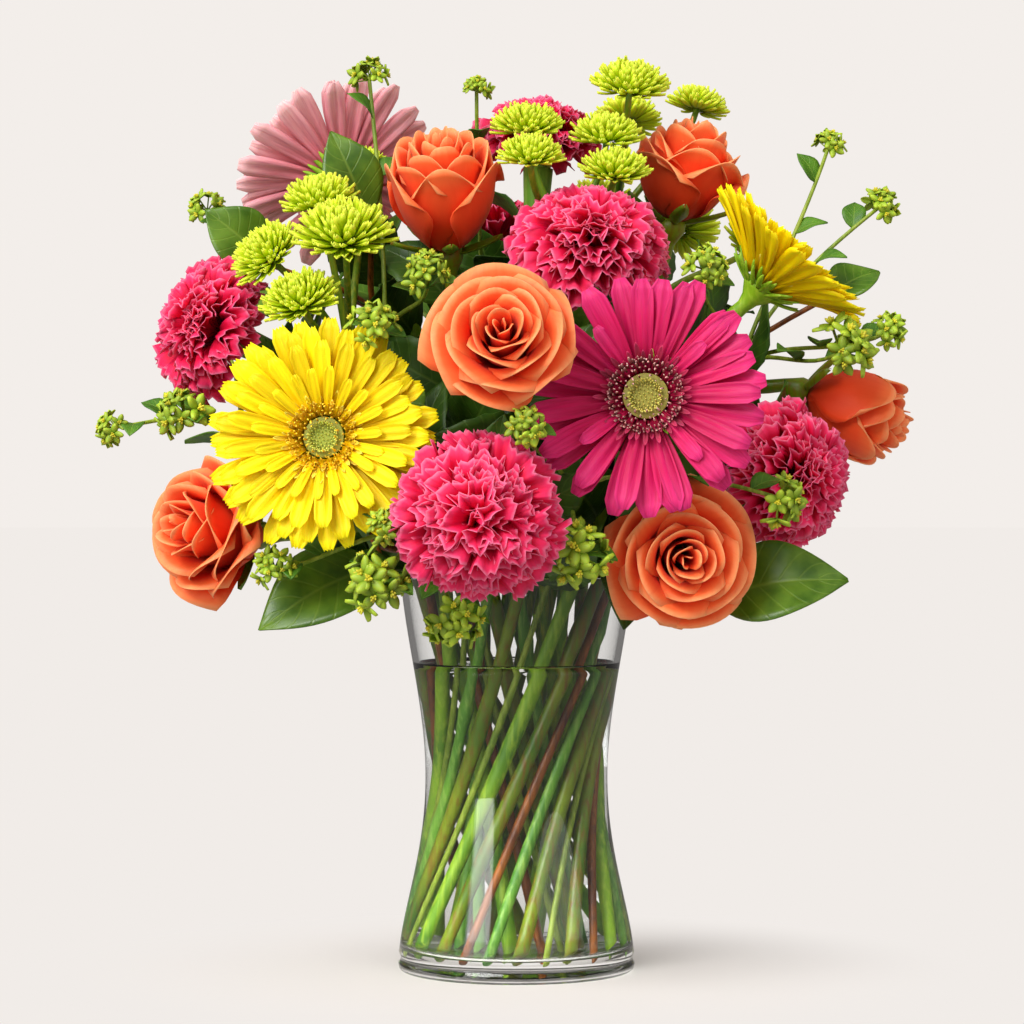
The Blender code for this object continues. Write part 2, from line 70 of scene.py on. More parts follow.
# %% [markdown]
# ## Camera, floor and light
#
# The camera stands at the bouquet's own height and far off with a long lens, so that the vase's sides stay
# upright. The floor is one plain pale disc, and the world has the same colour, so that no horizon shows. The
# light is a studio's: one wide soft sun from the front left, a weaker one from the right, and a tall soft box
# that draws the bright upright band on the glass. Clear glass mirrors whatever stands round it, so the world
# is bright where it is looked at and dim where it is only mirrored: the stems then keep their contrast.

# %% Camera, floor and light
CAMERA_SIDE, CAMERA_DISTANCE, CAMERA_HEIGHT = -0.002, 1.6, 0.222
AIM_HEIGHT = 0.206
LENS, SENSOR = 125.0, 36.0
LIT, MIRRORED = 0.60, 0.22  # the surroundings' strength as light and as a mirror image; looked at, it is 1


def linear(hex_code):
    """An sRGB hex colour as the linear RGBA that shaders take."""
    parts = [int(hex_code[i:i + 2], 16) / 255 for i in (0, 2, 4)]
    return (*[p / 12.92 if p <= 0.04045 else ((p + 0.055) / 1.055) ** 2.4 for p in parts], 1.0)


def feed(tree, node, inputs):
    """Fills a node's inputs, by place or by name, each with a value to set or a node or socket to link."""
    for key, value in inputs.items() if isinstance(inputs, dict) else enumerate(inputs):
        if isinstance(value, bpy.types.Node):
            value = value.outputs[0]
        if isinstance(value, bpy.types.NodeSocket):
            tree.links.new(value, node.inputs[key])
        elif value is not None:
            node.inputs[key].default_value = value


def add(tree, kind, inputs=(), stops=(), **settings):
    """Adds a node with its settings and links. A kind may name its operation, as ShaderNodeMath.ADD does.
    Stops are a ramp's places and hex colours."""
    kind, _, operation = kind.partition(".")
    node = tree.nodes.new(kind)
    for key, value in {**settings, **({"operation": operation} if operation else {})}.items():
        setattr(node, key, value)
    for k, (at, colour) in enumerate(stops):
        points = node.color_ramp.elements
        point = points[k] if k < len(points) else points.new(at)
        point.position, point.color = at, linear(colour)
    feed(tree, node, inputs)
    return node


def aim(obj, target):
    """Turns a camera or a lamp towards a place."""
    obj.rotation_euler = (Vector(target) - obj.location).to_track_quat("-Z", "Y").to_euler()


scene = bpy.context.scene
scene.view_settings.view_transform = "Standard"
camera = bpy.data.objects.new("camera", bpy.data.cameras.new("camera"))
scene.collection.objects.link(camera)
camera.location = (CAMERA_SIDE, -CAMERA_DISTANCE, CAMERA_HEIGHT)
camera.data.lens = LENS
camera.data.sensor_width = SENSOR
aim(camera, (CAMERA_SIDE, 0.0, AIM_HEIGHT))
scene.camera = camera


def plain_sight(tree):
    """Full strength where it is looked at, straight or through clear glass, and less where it lights or is
    mirrored."""
    path = add(tree, "ShaderNodeLightPath").outputs
    straight = add(tree, "ShaderNodeMath.MAXIMUM", [path["Is Camera Ray"], path["Is Transmission Ray"]])
    turns = add(tree, "ShaderNodeMath.ADD", [path["Diffuse Depth"], path["Glossy Depth"]])
    unturned = add(tree, "ShaderNodeMath.LESS_THAN", [turns, 0.5])
    seen = add(tree, "ShaderNodeMath.MULTIPLY", [straight, unturned])
    least = add(tree, "ShaderNodeMapRange",
                {"Value": path["Is Glossy Ray"], "To Min": LIT, "To Max": MIRRORED})
    return add(tree, "ShaderNodeMapRange", {"Value": seen, "To Min": least, "To Max": 1.0})


scene.world = bpy.data.worlds.new("studio")
scene.world.use_nodes = True
sky = scene.world.node_tree
feed(sky, sky.nodes["Background"], {"Color": linear("F3EEEA"), "Strength": plain_sight(sky)})


def sun(name, azimuth, elevation, power, spread):
    """A sun that stands at an azimuth from the camera, in degrees, positive to the right."""
    lamp = bpy.data.lights.new(name, "SUN")
    lamp.energy = power
    lamp.angle = math.radians(spread)
    obj = bpy.data.objects.new(name, lamp)
    scene.collection.objects.link(obj)
    a, e = math.radians(azimuth), math.radians(elevation)
    obj.location = Vector((math.sin(a) * math.cos(e), -math.cos(a) * math.cos(e), math.sin(e))) * 2
    aim(obj, (0, 0, 0))
    return obj


sun("key", -38, 42, 2.85, 34)
sun("fill", 52, 32, 0.75, 60).visible_glossy = False

box_light = bpy.data.lights.new("tall_soft_box", "AREA")
box_light.shape = "RECTANGLE"
box_light.size, box_light.size_y = 0.9, 1.5
box_light.energy = 13.0
soft_box = bpy.data.objects.new("tall_soft_box", box_light)
scene.collection.objects.link(soft_box)
soft_box.location = (-1.25, -1.45, 0.75)
aim(soft_box, (0, 0, 0.15))

bpy.ops.mesh.primitive_circle_add(vertices=96, radius=14, fill_type="NGON")
floor = bpy.context.object
floor.name = "floor"
# Matt paper takes the vase's soft shadow. Away from the vase it turns into the backdrop's own even light, so
# that no line shows where the two meet.
paper = bpy.data.materials.new("pale_studio_paper")
paper.use_nodes = True
tree = paper.node_tree
matt = tree.nodes["Principled BSDF"]
feed(tree, matt, {"Base Color": linear("E0DBD6"), "Roughness": 0.9, "Specular IOR Level": 0.1})
from_vase = add(tree, "ShaderNodeVectorMath.LENGTH", [add(tree, "ShaderNodeTexCoord").outputs["Object"]])
fade = add(tree, "ShaderNodeMapRange",
           {"Value": from_vase.outputs["Value"], "From Min": 30 * MM, "From Max": 210 * MM},
           interpolation_type="SMOOTHSTEP")
glow = add(tree, "ShaderNodeEmission", [linear("F1ECE8"), plain_sight(tree)])
blend = add(tree, "ShaderNodeMixShader", [fade, matt, glow])
feed(tree, tree.nodes["Material Output"], {"Surface": blend})
floor.data.materials.append(paper)
print("camera", tuple(round(c, 3) for c in camera.location))

# %% [markdown]
# ## Where each bloom sits
#
# Every bloom in the frame is a turned solid. Its corners are spread evenly round one axis, so the axis is the
# direction in which their spread differs from the other two. The stem tells which end is the bloom's back.
# Reading the axis from the solid keeps one source for every place.

# %% Measure the blooms and stems
def corners(node):
    """The corners of a CAD node, each once."""
    co = np.array([v.co[:] for v in frame["nodes"][node].data.vertices])
    return np.unique(np.round(co, 6), axis=0)


def measure(node, stem):
    """The base, facing, radius and height of a turned bloom."""
    points = corners(node)
    middle = points.mean(0)
    values, vectors = np.linalg.eigh(np.cov((points - middle).T))
    axis = vectors[:, 0] if values[2] - values[1] < values[1] - values[0] else vectors[:, 2]
    stalk = corners(stem)
    top = stalk[np.argmin(np.linalg.norm(stalk - middle, axis=1))]
    if axis @ (middle - top) < 0:
        axis = -axis
    along = (points - middle) @ axis
    across = np.linalg.norm((points - middle) - np.outer(along, axis), axis=1)
    return {"base": Vector(middle + axis * along.min()), "facing": Vector(axis),
            "radius": float(across.max()), "height": float(np.ptp(along))}


def kind_of(node):
    """The flower that a node's name begins with."""
    return next(kind for kind in ("gerbera", "rose", "carnation") if node.startswith(kind))


blooms = {}
for node in nodes:
    if node.endswith(("_petals", "_bloom")):
        name = node.rsplit("_", 1)[0]
        stem = name + "_stem"
        blooms[name] = {"kind": kind_of(node), "node": node, "stem": stem, **measure(node, stem)}
for name, bloom in blooms.items():
    print(f"{name:22s} radius {bloom['radius'] / MM:5.1f} mm, faces", [round(c, 2) for c in bloom["facing"]])

# %% [markdown]
# ## Tools for meshes
#
# Petals and leaves are all thin sheets, so one function makes a sheet from a grid of points and gives it a UV
# map with its own width and length. Solidify then gives the sheet a real thickness, and the result is kept
# as a plain closed mesh.

# %% Tools for meshes
workshop = bpy.data.collections.new("workshop")
scene.collection.children.link(workshop)


def mesh_object(name, mesh):
    """A mesh as an object of the scene."""
    obj = bpy.data.objects.new(name, mesh)
    scene.collection.objects.link(obj)
    return obj


def baked(obj):
    """The object with its modifiers applied, as a plain mesh."""
    bpy.context.view_layer.update()
    mesh = bpy.data.meshes.new_from_object(obj.evaluated_get(bpy.context.evaluated_depsgraph_get()))
    old = obj.data
    obj.modifiers.clear()
    obj.data = mesh
    if old.users == 0:
        bpy.data.meshes.remove(old)
    return obj


def sheets(name, grids, tones=None, thickness=0.0):
    """One object from grids of points, each of shape (rows, columns, 3). Every sheet gets the UV map "petal",
    across and along itself, and its own value "tone" where tones are given."""
    verts, faces, uv_list, tone_list = [], [], [], []
    for k, grid in enumerate(grids):
        rows, columns = grid.shape[:2]
        start = len(verts)
        verts.extend(map(tuple, grid.reshape(-1, 3)))
        tone_list.extend([tones[k] if tones is not None else 0.0] * (rows * columns))
        for r in range(rows - 1):
            for c in range(columns - 1):
                a = start + r * columns + c
                faces.append((a, a + 1, a + columns + 1, a + columns))
                uv_list.extend((cc / (columns - 1), rr / (rows - 1))
                               for cc, rr in ((c, r), (c + 1, r), (c + 1, r + 1), (c, r + 1)))
    mesh = bpy.data.meshes.new(name)
    mesh.from_pydata(verts, [], faces)
    layer = mesh.uv_layers.new(name="petal")
    layer.data.foreach_set("uv", np.array(uv_list, float).ravel())
    if tones is not None:
        mesh.attributes.new("tone", "FLOAT", "POINT").data.foreach_set("value", np.array(tone_list, float))
    mesh.shade_smooth()
    obj = mesh_object(name, mesh)
    if thickness:
        solid = obj.modifiers.new("Thickness", "SOLIDIFY")
        solid.thickness = thickness
        solid.offset = 0.0
        baked(obj)
    return obj


def joined(name, objects):
    """Several finished meshes as one piece."""
    first = objects[0]
    with bpy.context.temp_override(active_object=first, object=first, selected_objects=objects,
                                   selected_editable_objects=objects):
        bpy.ops.object.join()
    first.name = name
    return first


def place(obj, base, facing, turn=0.0):
    """Moves the mesh so that its +Z points along facing from base. The object stays at the origin."""
    spin = Matrix.Rotation(turn, 4, "Z")
    obj.data.transform(Matrix.Translation(base) @ facing.to_track_quat("Z", "Y").to_matrix().to_4x4() @ spin)
    obj.data.update()
    return obj


def finish_piece(obj, material, stands_for=()):
    """Gives a finished piece its material, its body and the CAD nodes that it stands for."""
    if material:
        obj.data.materials.clear()
        obj.data.materials.append(material)
    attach(obj, "root")
    if stands_for:
        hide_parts(*stands_for)
    return obj


# %% [markdown]
# ## One rule for every flower head
#
# Ray petals, disc florets, quills and umbels all follow one rule: the next one stands a fixed turn further
# round, and a little further out, than the one before. One Geometry Nodes tree holds that rule. Its inputs
# are the rule's sizes: where the whorl starts and ends, how far each petal lifts, and how loose it is.

# %% The whorl tree
FLOAT = "NodeSocketFloat"
WHORL_INPUTS = [
    ("Petals", "NodeSocketCollection", None), ("Count", "NodeSocketInt", 21), ("Turn", FLOAT, 2.4),
    ("Crowding", FLOAT, 0.5), ("Radius In", FLOAT, 0.0), ("Radius Out", FLOAT, 0.01),
    ("Height In", FLOAT, 0.0), ("Height Out", FLOAT, 0.0), ("Lift In", FLOAT, 90.0), ("Lift Out", FLOAT, 0.0),
    ("Size In", FLOAT, 1.0), ("Size Out", FLOAT, 1.0), ("Loose Turn", FLOAT, 0.0), ("Loose Lift", FLOAT, 0.0),
    ("Loose Size", FLOAT, 0.0), ("Seed", "NodeSocketInt", 1), ("Material", "NodeSocketMaterial", None),
]


def whorl_tree():
    """The rule as a Geometry Nodes tree: points first, then a petal on each, then its tone and its row."""
    tree = bpy.data.node_groups.new("whorl", "GeometryNodeTree")
    for name, kind, value in WHORL_INPUTS:
        socket = tree.interface.new_socket(name=name, in_out="INPUT", socket_type=kind)
        if value is not None:
            socket.default_value = value
    tree.interface.new_socket(name="Geometry", in_out="OUTPUT", socket_type="NodeSocketGeometry")
    given = add(tree, "NodeGroupInput").outputs

    def strayed(value, spread, offset):
        """The value, moved either way by chance within the spread."""
        seed = add(tree, "FunctionNodeIntegerMath.ADD", [given["Seed"], offset])
        chance = add(tree, "FunctionNodeRandomValue", {2: -1.0, 3: 1.0, 8: seed}, data_type="FLOAT")
        step = add(tree, "ShaderNodeMath.MULTIPLY", [chance.outputs[1], spread])
        return add(tree, "ShaderNodeMath.ADD", [value, step])

    index = add(tree, "GeometryNodeInputIndex")
    last = add(tree, "ShaderNodeMath.SUBTRACT", [given["Count"], 1.0])
    last = add(tree, "ShaderNodeMath.MAXIMUM", [last, 1.0])
    share = add(tree, "ShaderNodeMath.DIVIDE", [index, last])
    share = add(tree, "ShaderNodeMath.POWER", [share, given["Crowding"]])
    quarter = add(tree, "ShaderNodeMath.MULTIPLY", [share, math.pi / 2])
    sine, cosine = (add(tree, "ShaderNodeMath." + kind, [quarter]) for kind in ("SINE", "COSINE"))
    rise = add(tree, "ShaderNodeMath.SUBTRACT", [1.0, cosine])
    reached = {what: add(tree, "ShaderNodeMix", {0: way, 2: given[what + " In"], 3: given[what + " Out"]},
                         data_type="FLOAT")
               for what, way in (("Radius", sine), ("Height", rise), ("Lift", share), ("Size", share))}
    lift = strayed(reached["Lift"], given["Loose Lift"], 1)
    size = strayed(reached["Size"], given["Loose Size"], 2)
    turn = add(tree, "ShaderNodeMath.MULTIPLY", [index, given["Turn"]])
    turn = strayed(turn, given["Loose Turn"], 3)
    ahead, aside = (
        add(tree, "ShaderNodeMath.MULTIPLY", [reached["Radius"], add(tree, "ShaderNodeMath." + kind, [turn])])
        for kind in ("COSINE", "SINE"))
    spot = add(tree, "ShaderNodeCombineXYZ", [ahead, aside, reached["Height"]])
    pitch = add(tree, "ShaderNodeMath.MULTIPLY", [add(tree, "ShaderNodeMath.RADIANS", [lift]), -1.0])
    roll = strayed(0.0, add(tree, "ShaderNodeMath.MULTIPLY", [given["Loose Turn"], 1.5]), 4)
    rotation = add(tree, "ShaderNodeCombineXYZ", [roll, pitch, turn])
    held = add(tree, "GeometryNodePoints", {"Count": given["Count"], "Position": spot})
    stored = {}
    for name, kind, value in (("whorl_turn", "FLOAT_VECTOR", rotation), ("whorl_size", "FLOAT", size)):
        held = add(tree, "GeometryNodeStoreNamedAttribute", {"Geometry": held, "Name": name, "Value": value},
                   data_type=kind, domain="POINT")
        stored[name] = add(tree, "GeometryNodeInputNamedAttribute", {"Name": name}, data_type=kind)
    petals = add(tree, "GeometryNodeCollectionInfo", [given["Petals"], True, True])
    choice = add(tree, "FunctionNodeRandomValue", {4: 0, 5: 97, 8: given["Seed"]}, data_type="INT").outputs[2]
    grown = add(tree, "GeometryNodeInstanceOnPoints", {
        "Points": held, "Instance": petals, "Pick Instance": True, "Instance Index": choice,
        "Rotation": stored["whorl_turn"], "Scale": stored["whorl_size"]})
    tone = add(tree, "FunctionNodeRandomValue", {2: 0.0, 3: 1.0, 8: given["Seed"]}, data_type="FLOAT")
    row = add(tree, "ShaderNodeMath.DIVIDE", [index, last])
    for name, value in (("tone", tone.outputs[1]), ("row", row)):
        grown = add(tree, "GeometryNodeStoreNamedAttribute",
                    {"Geometry": grown, "Name": name, "Value": value}, data_type="FLOAT", domain="INSTANCE")
    real = add(tree, "GeometryNodeRealizeInstances", {"Geometry": grown})
    painted = add(tree, "GeometryNodeSetMaterial", {"Geometry": real, "Material": given["Material"]})
    add(tree, "NodeGroupOutput", {"Geometry": painted})
    return tree


WHORL = whorl_tree()
GOLDEN_TURN = math.pi * (3 - math.sqrt(5))


def petal_set(name, objects):
    """Source petals in a collection of their own, for the whorl tree to choose from."""
    found = bpy.data.collections.new(name)
    workshop.children.link(found)
    for obj in objects:
        for old in list(obj.users_collection):
            old.objects.unlink(obj)
        found.objects.link(obj)
    return found


def discard(*sets):
    """Removes source petals once the whorls that used them are plain meshes."""
    for found in sets:
        for obj in list(found.objects):
            bpy.data.objects.remove(obj, do_unlink=True)
        bpy.data.collections.remove(found)


def whorl(name, **values):
    """Runs the whorl tree and keeps its result as a plain mesh. Underscores in a name stand for spaces."""
    obj = mesh_object(name, bpy.data.meshes.new(name))
    modifier = obj.modifiers.new("Whorl", "NODES")
    modifier.node_group = WHORL
    wanted = {key.replace("_", " "): value for key, value in values.items()}
    for item in WHORL.interface.items_tree:
        if item.item_type == "SOCKET" and item.in_out == "INPUT" and item.name in wanted:
            value = wanted[item.name]
            modifier[item.identifier] = float(value) if item.socket_type == FLOAT else value
    return baked(obj)


print("whorl tree with", len(WHORL.nodes), "nodes")

# %% [markdown]
# ## Petal tissue
#
# A petal is a thin wet sheet: a waxy skin over cells that scatter light, so it is satin, never glossy, and
# light that enters it comes out a millimetre or two away. Fine ribs run from its foot to its tip: one to a
# millimetre on a gerbera's ray, one to two or three on a carnation's or a rose's broad petal. One function
# mixes that finish from the colours along the petal, the strength of its ribs, and a small difference from
# petal to petal.

# %% Petal tissue
def new_material(name):
    """A material with its node tree and its Principled shader."""
    made = bpy.data.materials.new(name)
    made.use_nodes = True
    return made, made.node_tree, made.node_tree.nodes["Principled BSDF"]


def sheet_places(tree):
    """Across and along a sheet, from its UV map, and the sheet's own tone."""
    uv = add(tree, "ShaderNodeSeparateXYZ", [add(tree, "ShaderNodeUVMap", uv_map="petal")]).outputs
    return uv[0], uv[1], add(tree, "ShaderNodeAttribute", attribute_name="tone").outputs["Fac"]


def toned(tree, colour, tone, least, most):
    """The colour, darkened or brightened by the sheet's tone."""
    value = add(tree, "ShaderNodeMapRange", {"Value": tone, "To Min": least, "To Max": most})
    return add(tree, "ShaderNodeHueSaturation", {"Color": colour, "Value": value})


def petal_tissue(name, stops, rib_colour, ribs, rib_share, rib_depth, tones=(0.82, 1.12), roughness=0.5,
                 glow=0.25, sheen=0.0):
    """Living petal: colour from foot to tip, a number of ribs across the width, and a tone for each petal."""
    made, tree, shader = new_material(name)
    across, along, tone = sheet_places(tree)
    ways = [add(tree, "ShaderNodeMath.MULTIPLY", [way, times])
            for way, times in ((across, ribs), (along, 2.2), (tone, 40.0))]
    rib = add(tree, "ShaderNodeTexNoise", {"Vector": add(tree, "ShaderNodeCombineXYZ", ways), "Scale": 1.0,
                                           "Detail": 3.0, "Roughness": 0.6}).outputs[0]
    mask = add(tree, "ShaderNodeMapRange",
               {"Value": rib, "From Min": 0.42, "From Max": 0.72, "To Max": rib_share})
    body = add(tree, "ShaderNodeValToRGB", [along], stops)
    ribbed = add(tree, "ShaderNodeMix", {0: mask, 6: body, 7: linear(rib_colour)}, data_type="RGBA")
    feed(tree, shader, {
        "Base Color": toned(tree, ribbed.outputs[2], tone, *tones),
        "Normal": add(tree, "ShaderNodeBump", {"Height": rib, "Strength": rib_depth, "Distance": 0.6 * MM}),
        "Roughness": add(tree, "ShaderNodeMapRange", {"Value": rib, "To Min": roughness - 0.08,
                                                      "To Max": roughness + 0.1}),
        "Subsurface Weight": glow, "Subsurface Radius": (1.0, 0.5, 0.35), "Subsurface Scale": 1.6 * MM,
        "Specular IOR Level": 0.2, "Sheen Weight": sheen})
    return made


GERBERA_SHADES = {
    "yellow": [(0.0, "E8A800"), (0.25, "F9CE00"), (0.7, "FFDE02"), (1.0, "FFEA0C")],
    "pink": [(0.0, "800820"), (0.15, "B80C48"), (0.6, "D4185E"), (1.0, "E0327A")],
    "pale_pink": [(0.0, "C8505E"), (0.3, "EE8490"), (0.75, "FBACB4"), (1.0, "FFCACA")],
}
GERBERA_RIBS = {"yellow": "EBB400", "pink": "A80F3C", "pale_pink": "C4506A"}
gerbera_tissue = {shade: petal_tissue("gerbera_ray_tissue_" + shade, stops, GERBERA_RIBS[shade], 9, 0.5, 0.5)
                  for shade, stops in GERBERA_SHADES.items()}
# A rose's skin is smooth and a little velvety: its ribs barely show, and its curled lips are pale.
rose_tissue = petal_tissue(
    "rose_petal_tissue",
    [(0.0, "D8300C"), (0.4, "EE3E14"), (0.76, "F55426"), (0.92, "FA743C"), (1.0, "FF9E66")],
    "E23A14", 14, 0.2, 0.12, tones=(0.94, 1.12), glow=0.35, sheen=0.05)
# A carnation's is matt with a light saw edge. Its petals darken almost to black at their feet, deep in the
# flower: that darkness is painted shade.
carnation_tissue = petal_tissue(
    "carnation_petal_tissue",
    [(0.0, "6E0012"), (0.45, "B4022A"), (0.85, "DC0A40"), (0.96, "EE2E62"), (1.0, "F87498")],
    "A8041F", 22, 0.3, 0.25, tones=(0.8, 1.15), roughness=0.6)
# A button's quills are lime and palest at their tips.
button_tissue = petal_tissue(
    "button_quill_tissue", [(0.0, "7E9A00"), (0.4, "ACC806"), (0.75, "CCDE1E"), (1.0, "E2EC4C")],
    "94B400", 5, 0.3, 0.3, tones=(0.86, 1.12), roughness=0.55)
print("petal materials:", [m.name for m in bpy.data.materials if "tissue" in m.name])

# %% [markdown]
# ## Gerberas
#
# A gerbera is a daisy: what looks like one flower is a head of many. Long ray petals stand in two or three
# rings round an eye of tiny disc florets. A ray is a strap with a blunt, slightly notched tip, two grooves
# along it and a gentle arch. Four different rays are drawn and the whorl tree deals them out, with shorter
# ones on top towards the eye.

# %% Gerbera rays
def ray_petal(name, length, width, arch, twist, wave, notch, rows=9, columns=8):
    """A strap petal along +X with its upper side to +Z."""
    v, u = np.meshgrid(np.linspace(0, 1, rows), np.linspace(-1, 1, columns + 1), indexing="ij")
    tip = np.sqrt(np.clip(1 - np.clip((v - 0.82) / 0.2, 0, 1) ** 2.2, 0, 1))
    half = np.maximum((0.34 + 0.66 * np.sin(np.clip(v * 1.25, 0, 1) * np.pi / 2)) * tip, 0.12) * width / 2
    x = v * length - notch * length * np.clip((v - 0.85) / 0.15, 0, 1) * np.cos(u * np.pi * 1.5) ** 2
    y = u * half
    groove = 0.09 * width * np.cos(u * np.pi * 1.5) * np.sin(np.pi * np.clip(v, 0.05, 0.97)) ** 0.5
    channel = 0.10 * width * u ** 2 * (1 - 0.4 * v)
    z = arch * length * np.sin(np.pi * v * 0.9) - arch * 0.5 * length * v ** 3 + groove + channel
    z = z + twist * y * v + wave * width * np.sin(6 * v + 2 * u) * 0.06
    return sheets(name, [np.stack([x, y, z], -1)], thickness=0.35 * MM)


RAY_FOOT = 9.5 * MM


def gerbera_rays(name, bloom, shade, slim, rings):
    """The rings of rays round one eye. A ring is its count, length share, lift in degrees and height."""
    reach = bloom["radius"] - RAY_FOOT
    width, notch = (10.2 * MM, 0.0) if slim else (8.8 * MM, 0.03)
    sources = petal_set(name + "_source_rays", [
        ray_petal(f"{name}_ray_{k}", reach, width * (1 + 0.06 * math.sin(2 * k)),
                  0.035 + 0.02 * math.sin(3 * k), 0.15 * math.sin(5 * k), 1.0, notch) for k in range(4)])
    cone = math.degrees(math.atan2(bloom["height"] - 1.4 * MM, bloom["radius"] * 0.7))
    made = []
    for k, (count, share, lift, height) in enumerate(rings):
        made.append(whorl(
            f"{name}_ring_{k}", Petals=sources, Count=count, Turn=2 * math.pi / count, Crowding=1.0,
            Radius_In=RAY_FOOT, Radius_Out=RAY_FOOT, Height_In=height * MM, Height_Out=height * MM,
            Lift_In=cone + lift, Lift_Out=cone + lift, Size_In=share, Size_Out=share, Loose_Turn=0.06,
            Loose_Lift=4.5, Loose_Size=0.04, Seed=11 * k + len(name), Material=gerbera_tissue[shade]))
    discard(sources)
    return joined(name, made)


RINGS = {
    "yellow": [(25, 1.0, -2, 1.0), (23, 0.93, 3, 2.2), (21, 0.80, 9, 3.4), (19, 0.52, 16, 4.4)],
    "pink": [(19, 1.0, -1, 1.0), (15, 0.96, 3, 2.2), (4, 0.62, 9, 3.2)],
    "pale_pink": [(20, 1.0, -1, 1.0), (18, 0.93, 4, 2.2), (14, 0.6, 12, 3.6)],
}


def shade_of(name):
    """The colour in a gerbera's name. Pale pink is tried before pink, which is part of its name."""
    return next(s for s in ("yellow", "pale_pink", "pink") if s in name)


for name, bloom in blooms.items():
    if bloom["kind"] == "gerbera":
        shade = shade_of(name)
        rays = gerbera_rays(name + "_rays", bloom, shade, shade != "yellow", RINGS[shade])
        place(rays, bloom["base"], bloom["facing"], turn=0.3 * len(name))
        finish_piece(rays, gerbera_tissue[shade], [bloom["node"]])
        print(rays.name, len(rays.data.polygons), "faces")

# %% [markdown]
# ## The gerberas' eyes
#
# The eye is a low dome packed with disc florets in the golden turn. Those at the rim are open: slim, split
# and bright. Further in they shorten, and in the middle they are still closed green buds. The outermost
# stand as a fringe of short petals over the rays' feet.

# %% Gerbera eyes
def floret(name, length, width, hook):
    """A slim pointed floret along +X, curled in at its tip."""
    v, u = np.meshgrid(np.linspace(0, 1, 6), np.linspace(-1, 1, 4), indexing="ij")
    half = width / 2 * np.array([0.5, 0.8, 1.0, 0.95, 0.7, 0.12])[:, None]
    x = v * length - hook * length * v ** 3 * 0.25
    z = hook * length * v ** 2 * 0.5 + 0.25 * width * u ** 2
    return sheets(name, [np.stack([x, u * half, z], -1)], thickness=0.25 * MM)


def bud(name, length, width):
    """A closed floret: a small rounded peg along +X."""
    v, a = np.meshgrid(np.linspace(0, 1, 5), np.linspace(0, 2 * np.pi, 7), indexing="ij")
    r = width / 2 * np.array([0.6, 0.95, 1.0, 0.7, 0.05])[:, None]
    obj = sheets(name, [np.stack([v * length, r * np.cos(a), r * np.sin(a)], -1)])
    return welded(obj)


def welded(obj, distance=0.005 * MM):
    """Closes seams and poles, and turns every face outwards."""
    work = bmesh.new()
    work.from_mesh(obj.data)
    bmesh.ops.remove_doubles(work, verts=work.verts, dist=distance)
    bmesh.ops.holes_fill(work, edges=[e for e in work.edges if e.is_boundary])
    bmesh.ops.recalc_face_normals(work, faces=work.faces)
    for face in work.faces:
        face.smooth = True
    work.to_mesh(obj.data)
    work.free()
    return obj


def eye_tissue(name, inner, rim, fringe):
    """Disc florets: one colour in the middle, another at the rim, each floret paler at its tip."""
    made, tree, shader = new_material("gerbera_eye_tissue_" + name)
    _, along, tone = sheet_places(tree)
    row = add(tree, "ShaderNodeAttribute", attribute_name="row").outputs["Fac"]
    foot, tip = (add(tree, "ShaderNodeValToRGB", [row], [(0.0, inner[k]), (0.40, inner[k]), (0.45, rim[k]),
                                                         (0.78, rim[k]), (0.90, fringe[k])]) for k in (0, 1))
    share = add(tree, "ShaderNodeMath.POWER", [along, 1.6])
    body = add(tree, "ShaderNodeMix", {0: share, 6: foot, 7: tip}, data_type="RGBA").outputs[2]
    feed(tree, shader, {"Base Color": toned(tree, body, tone, 0.7, 1.2), "Roughness": 0.6,
                        "Subsurface Weight": 0.15, "Subsurface Scale": 0.8 * MM})
    return made


# Each pair of colours is a floret's foot and its tip: for the middle, for the ring and for the fringe.
eye_finish = {name: eye_tissue(name, *colours) for name, colours in {
    "yellow": [("B2BC2C", "E8EA74"), ("ECB200", "FFE23C"), ("F4BC00", "FFEE50")],
    "pink": [("AEA636", "E8DC74"), ("74061C", "F0B8B0"), ("8A0A2A", "C4305E")],
    "pale_pink": [("7A7A2A", "C8BE6A"), ("A03A40", "F0C8B4"), ("B04A50", "DE8C90")]}.items()}
EYE_LIFT = 3.6 * MM


